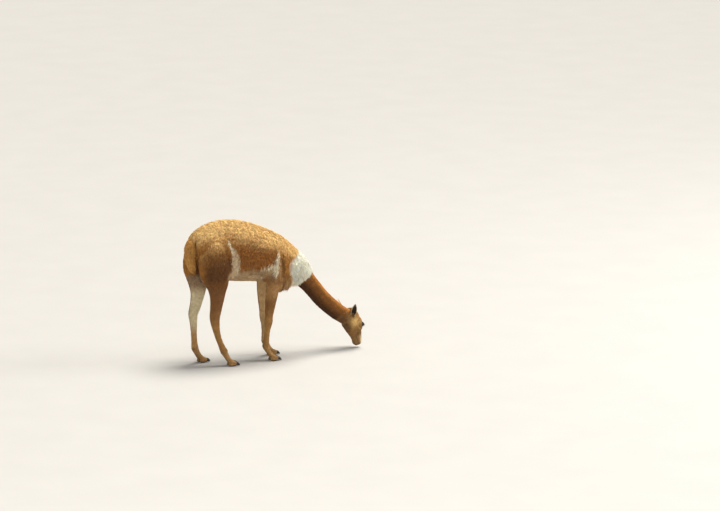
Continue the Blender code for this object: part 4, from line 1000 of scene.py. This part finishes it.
def growTufts(name, roots, ways, lies, values, tips, tone, rings, draw):
    # a flat three-sided tuft for each root, tapered, bent and waved, with its foot in the skin
    count = len(roots)
    length, width = values[:, 1] * draw.uniform(0.75, 1.2, count), values[:, 2] * draw.uniform(0.75, 1.2, count)
    lift = np.radians(values[:, 3] * draw.uniform(0.7, 1.35, count))[:, None]
    turned = unit(lies + draw.normal(scale=0.16, size=(count, 3)))
    along = unit(turned - (turned * ways).sum(1, keepdims=True) * ways)
    side = np.cross(ways, along)
    start = np.cos(lift) * along + np.sin(lift) * ways
    down = np.array((0, 0, -1.0))
    droop = values[:, 6][:, None]
    end = unit(np.cos(lift) * along - 0.25 * np.sin(lift) * ways + droop * down)
    phase = draw.uniform(0, 2 * np.pi, (2, count, 1))
    woolly = ramp(length, 0.012, 0.026)[:, None]
    freeTip = roots + length[:, None] * (start + end) / 2
    pull = values[:, 5][:, None] * (tips - freeTip)
    twist = np.radians(draw.normal(scale=22, size=count))[:, None]
    across = np.cos(twist) * side + np.sin(twist) * ways
    ridge = np.cos(twist) * ways - np.sin(twist) * side
    profile = {2: (0.8, 0.8), 3: (0.75, 1.0, 0.62), 4: (0.7, 1.0, 0.85, 0.5), 5: (0.7, 1.0, 0.95, 0.75, 0.4)}[rings]
    spots = np.empty((count, rings * 3 + 1, 3))
    for k in range(rings + 1):
        t = k / rings
        line = roots - ways * (0.35 * width)[:, None] + length[:, None] * (start * (t - t * t / 2) + end * t * t / 2)
        wave = values[:, 4][:, None] * length[:, None] * t
        line = line + wave * (np.sin(1.6 * rings * t + phase[0]) * side + 0.7 * np.sin(1.6 * rings * t + phase[1]) * ways)
        line = line + pull * t**1.4
        if k == rings:
            spots[:, -1] = line
        else:
            half = (width * profile[k] / 2)[:, None]
            spots[:, 3 * k] = line - across * half
            spots[:, 3 * k + 1] = line + across * half
            spots[:, 3 * k + 2] = line + ridge * half * (0.55 + 0.40 * woolly)
    spots[:, :, 2] = np.maximum(spots[:, :, 2], 0.0004)
    faces = [(0, 1, 2)]
    for k in range(rings - 1):
        for j in range(3):
            a, b = 3 * k + j, 3 * k + (j + 1) % 3
            faces += [(a, b + 3, b), (a, a + 3, b + 3)]
    last = 3 * (rings - 1)
    faces += [(last + j, last + 3, last + (j + 1) % 3) for j in range(3)]
    faces = np.array(faces)[:, ::-1]
    per = rings * 3 + 1
    corners = (faces[None] + (np.arange(count) * per)[:, None, None]).reshape(-1)
    mesh = bpy.data.meshes.new(name)
    mesh.vertices.add(count * per)
    mesh.vertices.foreach_set("co", spots.ravel())
    mesh.loops.add(len(corners))
    mesh.loops.foreach_set("vertex_index", corners)
    mesh.polygons.add(len(corners) // 3)
    mesh.polygons.foreach_set("loop_start", np.arange(0, len(corners), 3))
    mesh.polygons.foreach_set("use_smooth", np.ones(len(corners) // 3, bool))
    mesh.update(calc_edges=True)
    mesh.validate()
    piece = bpy.data.objects.new(name, mesh)
    bpy.context.scene.collection.objects.link(piece)
    # painted shade along each tuft: dark at the root and pale at the tip, less so in the white parts
    rise = np.concatenate([np.repeat(k / rings, 3) for k in range(rings)] + [[1.0]])
    paleness = ramp(tone.mean(axis=1), 0.30, 0.75)[:, None]
    root = 0.88 - 0.14 * woolly * (1 - paleness) + 0.08 * paleness
    fade = root * (1 - rise) + (1.04 + 0.06 * woolly * (1 - paleness)) * rise
    paint(piece, np.clip(tone[:, None, :] * fade[:, :, None], 0, 0.97).reshape(-1, 3))
    patch = 0.003
    corner = np.array([((j - 0.5) * 0.5, k / rings - 0.5) for k in range(rings) for j in (0, 2, 1)] + [(0, 0.5)]) * patch
    places = (bakePlaces(roots)[:, None] + corner[None]).reshape(-1, 2)
    layer = mesh.uv_layers.new(name="OFBake")
    layer.data.foreach_set("uv", np.clip(places[corners], 0, 1).ravel())
    mesh.materials.append(woolLook)
    return piece


roots, rootWays = scatterRoots()
rootZones = zonesAt(roots, rootWays)
values, lies = coatAt(rootZones)
# a tuft takes the tone of the place under its middle
flat = unit(lies - (lies * rootWays).sum(1, keepdims=True) * rootWays)
rootTones, _ = markingsLightAndShadeAt(roots + flat * (values[:, 1] * 0.55 * (1 - rootZones["bib"]))[:, None], rootWays)
draw = np.random.default_rng(coat["seed"] + 1)
tips, clumpShade = clumpTips(roots, rootWays, lies, values, draw)
strandShade = draw.normal(scale=0.075, size=len(roots))
mottle = 0.70 + 0.30 * ramp(values[:, 1], 0.012, 0.026)
rootTones = rootTones * (1 + mottle * (0.08 * np.clip(clumpShade, -1.8, 1.8) + strandShade))[:, None]
print("roots:", len(roots))

isEar = rootZones["ear"] > 0.3
isHead = (rootZones["head"] > 0.5) & ~isEar
isLeg = (rootZones["leg"] > 0.5) & ~isHead & ~isEar
isNeck = (rootZones["neck"] > 0.5) & ~isHead & ~isLeg & ~isEar
isTail = (rootZones["tail"] > 0.5)
isBib = (np.maximum(rootZones["bib"], rootZones["fringe"]) > 0.5) & ~isNeck & ~isLeg & ~isHead & ~isEar
isWool = ~(isHead | isEar | isLeg | isNeck | isTail | isBib)
rightSide = roots[:, 1] < 0
coatPieces = []
for word, chosen, rings in (
    ("coatHead", isHead, 2), ("coatEars", isEar, 2), ("coatLegsRight", isLeg & rightSide, 2), ("coatLegsLeft", isLeg & ~rightSide, 2),
    ("coatNeckRight", isNeck & rightSide, 3), ("coatNeckLeft", isNeck & ~rightSide, 3), ("coatTail", isTail, 4),
    ("coatBib", isBib, 4),
    ("woolRumpRight", isWool & rightSide & (roots[:, 0] < -0.36), 3),
    ("woolRumpLeft", isWool & ~rightSide & (roots[:, 0] < -0.36), 3),
    ("woolFlankRight", isWool & rightSide & (roots[:, 0] >= -0.36) & (roots[:, 0] < -0.17), 3),
    ("woolFlankLeft", isWool & ~rightSide & (roots[:, 0] >= -0.36) & (roots[:, 0] < -0.17), 3),
    ("woolShoulderRight", isWool & rightSide & (roots[:, 0] >= -0.17), 3),
    ("woolShoulderLeft", isWool & ~rightSide & (roots[:, 0] >= -0.17), 3),
):
    picked = np.nonzero(chosen)[0]
    piece = growTufts(word, roots[picked], rootWays[picked], lies[picked], values[picked], tips[picked], rootTones[picked], rings, draw)
    coatPieces.append(piece)
    print(word, len(picked), "tufts,", len(piece.data.polygons), "faces")


def makeEye(word, side):
    # a ball with its pole looking out, painted with a dark brown ring and a level pupil
    centre, look, forwards, across = eyeAxes(side)
    ball = swelling(word, (0, 0, 0), (eyes["radius"],) * 3, segments=72)
    spots = pointsOf(ball)
    out = np.degrees(np.arccos(np.clip(spots[:, 2] / eyes["radius"], -1, 1)))
    level, high = np.degrees(np.arcsin(np.clip(spots[:, :2] / eyes["radius"], -1, 1))).T
    wide, tall = eyes["pupil"]
    pupil = 1 - ramp(np.hypot(level / wide, high / tall), 0.85, 1.15)
    iris = 1 - ramp(out, eyes["irisAngle"] - 4, eyes["irisAngle"] + 2)
    ring = np.exp(-(((out - eyes["irisAngle"] + 3) / 5) ** 2))
    brown, dark = np.array((0.020, 0.0095, 0.0045)), np.array((0.004, 0.003, 0.0028))
    white = np.array((0.030, 0.021, 0.017))
    colour = white + (brown - white) * iris[:, None]
    colour = colour + (dark - colour) * np.clip(pupil + 0.7 * ring, 0, 1)[:, None]
    paint(ball, colour)
    axes = np.array((forwards, across, look))
    bulge = 1 + 0.035 * (1 - ramp(out, 20, 50))
    movePoints(ball, np.array(centre) + (spots * bulge[:, None]) @ axes)
    if across.dot(look.cross(forwards)) < 0:
        ball.data.flip_normals()
    ball.data.transform(headPlace)
    pickOnly(ball)
    bpy.ops.object.shade_smooth()
    ball.data.materials.append(eyeLook)
    return ball


def eyeMaterial():
    # wet, with the tone broken by a fine noise
    look = newLook("wet eye", 0.10)
    link = look.node_tree.links.new
    shader = shaderOf(look)
    shader.inputs["Specular IOR Level"].default_value = 0.25
    shader.inputs["Coat Weight"].default_value = 0.25
    shader.inputs["Coat Roughness"].default_value = 0.03
    place = addNode(look, "ShaderNodeTexCoord")
    tone = addNode(look, "ShaderNodeAttribute", attribute_name="tone")
    speck = addNode(look, "ShaderNodeTexNoise")
    speck.inputs["Scale"].default_value = 900
    shade = addNode(look, "ShaderNodeVectorMath", operation="SCALE")
    spread = addNode(look, "ShaderNodeMapRange")
    spread.inputs["To Min"].default_value = 0.6
    spread.inputs["To Max"].default_value = 1.5
    link(place.outputs["Object"], speck.inputs["Vector"])
    link(speck.outputs["Fac"], spread.inputs["Value"])
    link(tone.outputs["Color"], shade.inputs[0])
    link(spread.outputs["Result"], shade.inputs["Scale"])
    link(shade.outputs["Vector"], shader.inputs["Base Color"])
    return look


eyeLook = eyeMaterial()
eyePieces = {"eyeRight": makeEye("eyeRight", -1), "eyeLeft": makeEye("eyeLeft", 1)}


def makeLashes(word, side):
    # a row of stiff dark hairs on the upper lid, longest behind the middle
    draw = np.random.default_rng(coat["seed"] + 5)
    centre, look, forwards, across = (np.array(v) for v in eyeAxes(side))
    up = 1 if across[2] > 0 else -1
    turns = np.radians(np.linspace(20, 160, eyes["lashes"]) + draw.normal(scale=2.0, size=eyes["lashes"])) * up
    opening, thick = lidOpening(turns, across)
    around = np.column_stack((np.sin(opening) * np.cos(turns), np.sin(opening) * np.sin(turns), np.cos(opening)))
    roots = centre + (eyes["radius"] + 0.7 * thick)[:, None] * (around @ np.array((forwards, across, look)))
    ways = unit(np.cos(turns)[:, None] * forwards + np.sin(turns)[:, None] * across)
    lies = unit(look + 0.55 * ways + 0.45 * forwards - 0.5 * up * across)
    turned = np.array(headPlace.to_3x3()).T
    roots, ways, lies = roots @ turned + np.array(head["poll"]), ways @ turned, lies @ turned
    count = len(roots)
    length = eyes["lashLength"] * (0.65 + 0.35 * np.sin(np.linspace(0.2, 2.9, count)))
    rows = np.column_stack((np.full(count, 0.001), length, np.full(count, 0.0007), np.full(count, 12.0),
                            np.full(count, 0.02), np.zeros(count), np.full(count, -0.15)))
    tone = np.tile(np.array((0.010, 0.007, 0.005)), (count, 1))
    return growTufts(word, roots, ways, lies, rows, roots, tone, 4, draw)


lashPieces = [makeLashes("lashesRight", -1), makeLashes("lashesLeft", 1)]
print("eyes made")

def nailMaterial():
    # dull horn: streaks along it, a fine scratch bump
    look = newLook("horn", 0.48)
    link = look.node_tree.links.new
    shader = shaderOf(look)
    place = addNode(look, "ShaderNodeTexCoord")
    tone = addNode(look, "ShaderNodeAttribute", attribute_name="tone")
    stretch = addNode(look, "ShaderNodeMapping")
    stretch.inputs["Scale"].default_value = (90, 700, 500)
    streak = addNode(look, "ShaderNodeTexNoise")
    streak.inputs["Scale"].default_value = 1.0
    streak.inputs["Detail"].default_value = 5
    spread = addNode(look, "ShaderNodeMapRange")
    spread.inputs["From Min"].default_value = 0.3
    spread.inputs["From Max"].default_value = 0.7
    spread.inputs["To Min"].default_value = 0.55
    spread.inputs["To Max"].default_value = 1.6
    shade = addNode(look, "ShaderNodeVectorMath", operation="SCALE")
    bump = addNode(look, "ShaderNodeBump")
    bump.inputs["Strength"].default_value = 0.5
    bump.inputs["Distance"].default_value = 0.0006
    link(place.outputs["Object"], stretch.inputs["Vector"])
    link(stretch.outputs["Vector"], streak.inputs["Vector"])
    link(streak.outputs["Fac"], spread.inputs["Value"])
    link(tone.outputs["Color"], shade.inputs[0])
    link(spread.outputs["Result"], shade.inputs["Scale"])
    link(shade.outputs["Vector"], shader.inputs["Base Color"])
    link(streak.outputs["Fac"], bump.inputs["Height"])
    link(bump.outputs["Normal"], shader.inputs["Normal"])
    return look


def makeNail():
    nail = ringTube("nail", nails["rows"], sides=24, between=5)
    pickOnly(nail)
    bpy.ops.object.mode_set(mode="EDIT")
    bpy.ops.mesh.select_all(action="SELECT")
    bpy.ops.mesh.remove_doubles(threshold=0.00005)
    bpy.ops.mesh.normals_make_consistent(inside=False)
    bpy.ops.object.mode_set(mode="OBJECT")
    spots, ways = pointsOf(nail), normalsOf(nail)
    spots += ways * (nails["growthRings"] * np.sin(spots[:, 0] * 2 * np.pi / 0.0032))[:, None]
    spots[:, 2] = np.maximum(spots[:, 2], nails["lowest"])
    movePoints(nail, spots)
    worn = ramp(spots[:, 0], 0.085, 0.098)[:, None]
    paint(nail, np.array((0.030, 0.021, 0.015)) * (1 - worn) + np.array((0.12, 0.092, 0.066)) * worn)
    nail.data.materials.append(nailMaterial())
    bpy.ops.object.shade_smooth()
    return nail


nailPieces = []
firstNail = makeNail()
for leg in body["legs"]:
    for word, toeSide in (("Right", -1), ("Left", 1)):
        nail = firstNail.copy()
        nail.data = firstNail.data.copy()
        nail.name = leg + "Nail" + word
        bpy.context.scene.collection.objects.link(nail)
        if toeSide < 0:
            nail.data.transform(Matrix.Diagonal((1, -1, 1, 1)))
            nail.data.flip_normals()
        nail.data.transform(footPlace(leg))
        outer = (toeSide > 0) == leg.endswith("Left")
        nodeName = ("hind_" if leg.startswith("hind") else "fore_") + ("left" if leg.endswith("Left") else "right")
        nailPieces.append((nail, nodeName + ("_nail_outer" if outer else "_nail_inner")))
bpy.data.objects.remove(firstNail, do_unlink=True)
print("nails made:", len(nailPieces))

# What each piece rides on, and the solids that it stands for
flesh = ["torso", "neck", "tail", "head", "ear_right", "ear_left"]
flesh += [f"{end}_{side}_{part}" for end in ("hind", "fore") for side in ("right", "left")
          for part in ("upper", "cannon", "foot")]
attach(skin, "root")
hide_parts(*flesh)
for piece in coatPieces + lashPieces:
    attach(piece, "root")
for word, piece in eyePieces.items():
    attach(piece, "root")
    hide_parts("eye_right" if word == "eyeRight" else "eye_left")
for piece, nodeName in nailPieces:
    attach(piece, "root")
    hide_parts(nodeName)

# Floor, lights and camera
studio = {
    "floor": 160.0,
    "floorTone": (0.50, 0.485, 0.455, 1.0),
    "sky": 0.40,
    "sun": 4.0,
    "sunAngle": 34.0,
    "sunTurn": (-2.0, 17.0, 0.0),
    "fill": 90.0,
    "front": 480.0,
    # camera: turn and height in degrees, metres a pixel, the pixel over the frame's origin
    "turn": 27.0, "height": 12.0, "metresPerPixel": 0.0062, "originAt": (275.4, 357.0), "lens": 200.0,
}


def floorMaterial():
    look = newLook("floor", 0.9)
    link = look.node_tree.links.new
    place = addNode(look, "ShaderNodeTexCoord")
    speck = addNode(look, "ShaderNodeTexNoise")
    speck.inputs["Scale"].default_value = 3
    tone = addNode(look, "ShaderNodeValToRGB")
    tone.color_ramp.elements[0].position = 0.3
    tone.color_ramp.elements[1].position = 0.7
    tone.color_ramp.elements[0].color = studio["floorTone"]
    tone.color_ramp.elements[1].color = [min(1.0, share * 1.03) for share in studio["floorTone"]]
    link(place.outputs["Object"], speck.inputs["Vector"])
    link(speck.outputs["Fac"], tone.inputs["Fac"])
    link(tone.outputs["Color"], shaderOf(look).inputs["Base Color"])
    return look


bpy.ops.object.select_all(action="DESELECT")
bpy.ops.mesh.primitive_plane_add(size=studio["floor"])
floor = bpy.context.object
floor.name = "floor"
floor.data.materials.append(floorMaterial())

sky = bpy.data.worlds.new("studio")
bpy.context.scene.world = sky
sky.use_nodes = True
sky.node_tree.nodes["Background"].inputs["Color"].default_value = (1.0, 0.99, 0.97, 1.0)
sky.node_tree.nodes["Background"].inputs["Strength"].default_value = studio["sky"]

bpy.ops.object.light_add(type="SUN", location=(0, 0, 8), rotation=[math.radians(angle) for angle in studio["sunTurn"]])
sun = bpy.context.object
sun.data.energy = studio["sun"]
sun.data.angle = math.radians(studio["sunAngle"])
sun.data.color = (1.0, 0.97, 0.92)
bpy.ops.object.light_add(type="AREA", location=(-2.5, -7.0, 2.2), rotation=(math.radians(75), 0, math.radians(-20)))
fill = bpy.context.object
fill.data.energy = studio["fill"]
fill.data.size = 5.0
bpy.ops.object.light_add(type="AREA", location=(8.0, -3.5, 4.5))
front = bpy.context.object
front.rotation_euler = (front.location - Vector((0.2, 0.0, 0.5))).to_track_quat("Z", "Y").to_euler()
front.data.energy = studio["front"]
front.data.size = 4.0

turn, height = math.radians(studio["turn"]), math.radians(studio["height"])
right = Vector((math.cos(turn), -math.sin(turn), 0))
up = Vector((math.sin(turn) * math.sin(height), math.cos(turn) * math.sin(height), math.cos(height)))
back = right.cross(up)
share = studio["metresPerPixel"]
target = right * ((360 - studio["originAt"][0]) * share) + up * ((studio["originAt"][1] - 255.5) * share)
away = 720 * share * studio["lens"] / 36
bpy.ops.object.camera_add()
camera = bpy.context.object
camera.data.lens = studio["lens"]
camera.data.sensor_width = 36
camera.data.clip_end = 400
camera.matrix_world = Matrix.Translation(target + back * away) @ Matrix((right, up, back)).transposed().to_4x4()
bpy.context.scene.camera = camera
bpy.context.scene.view_settings.view_transform = "Standard"
print("floor, lights and camera set")
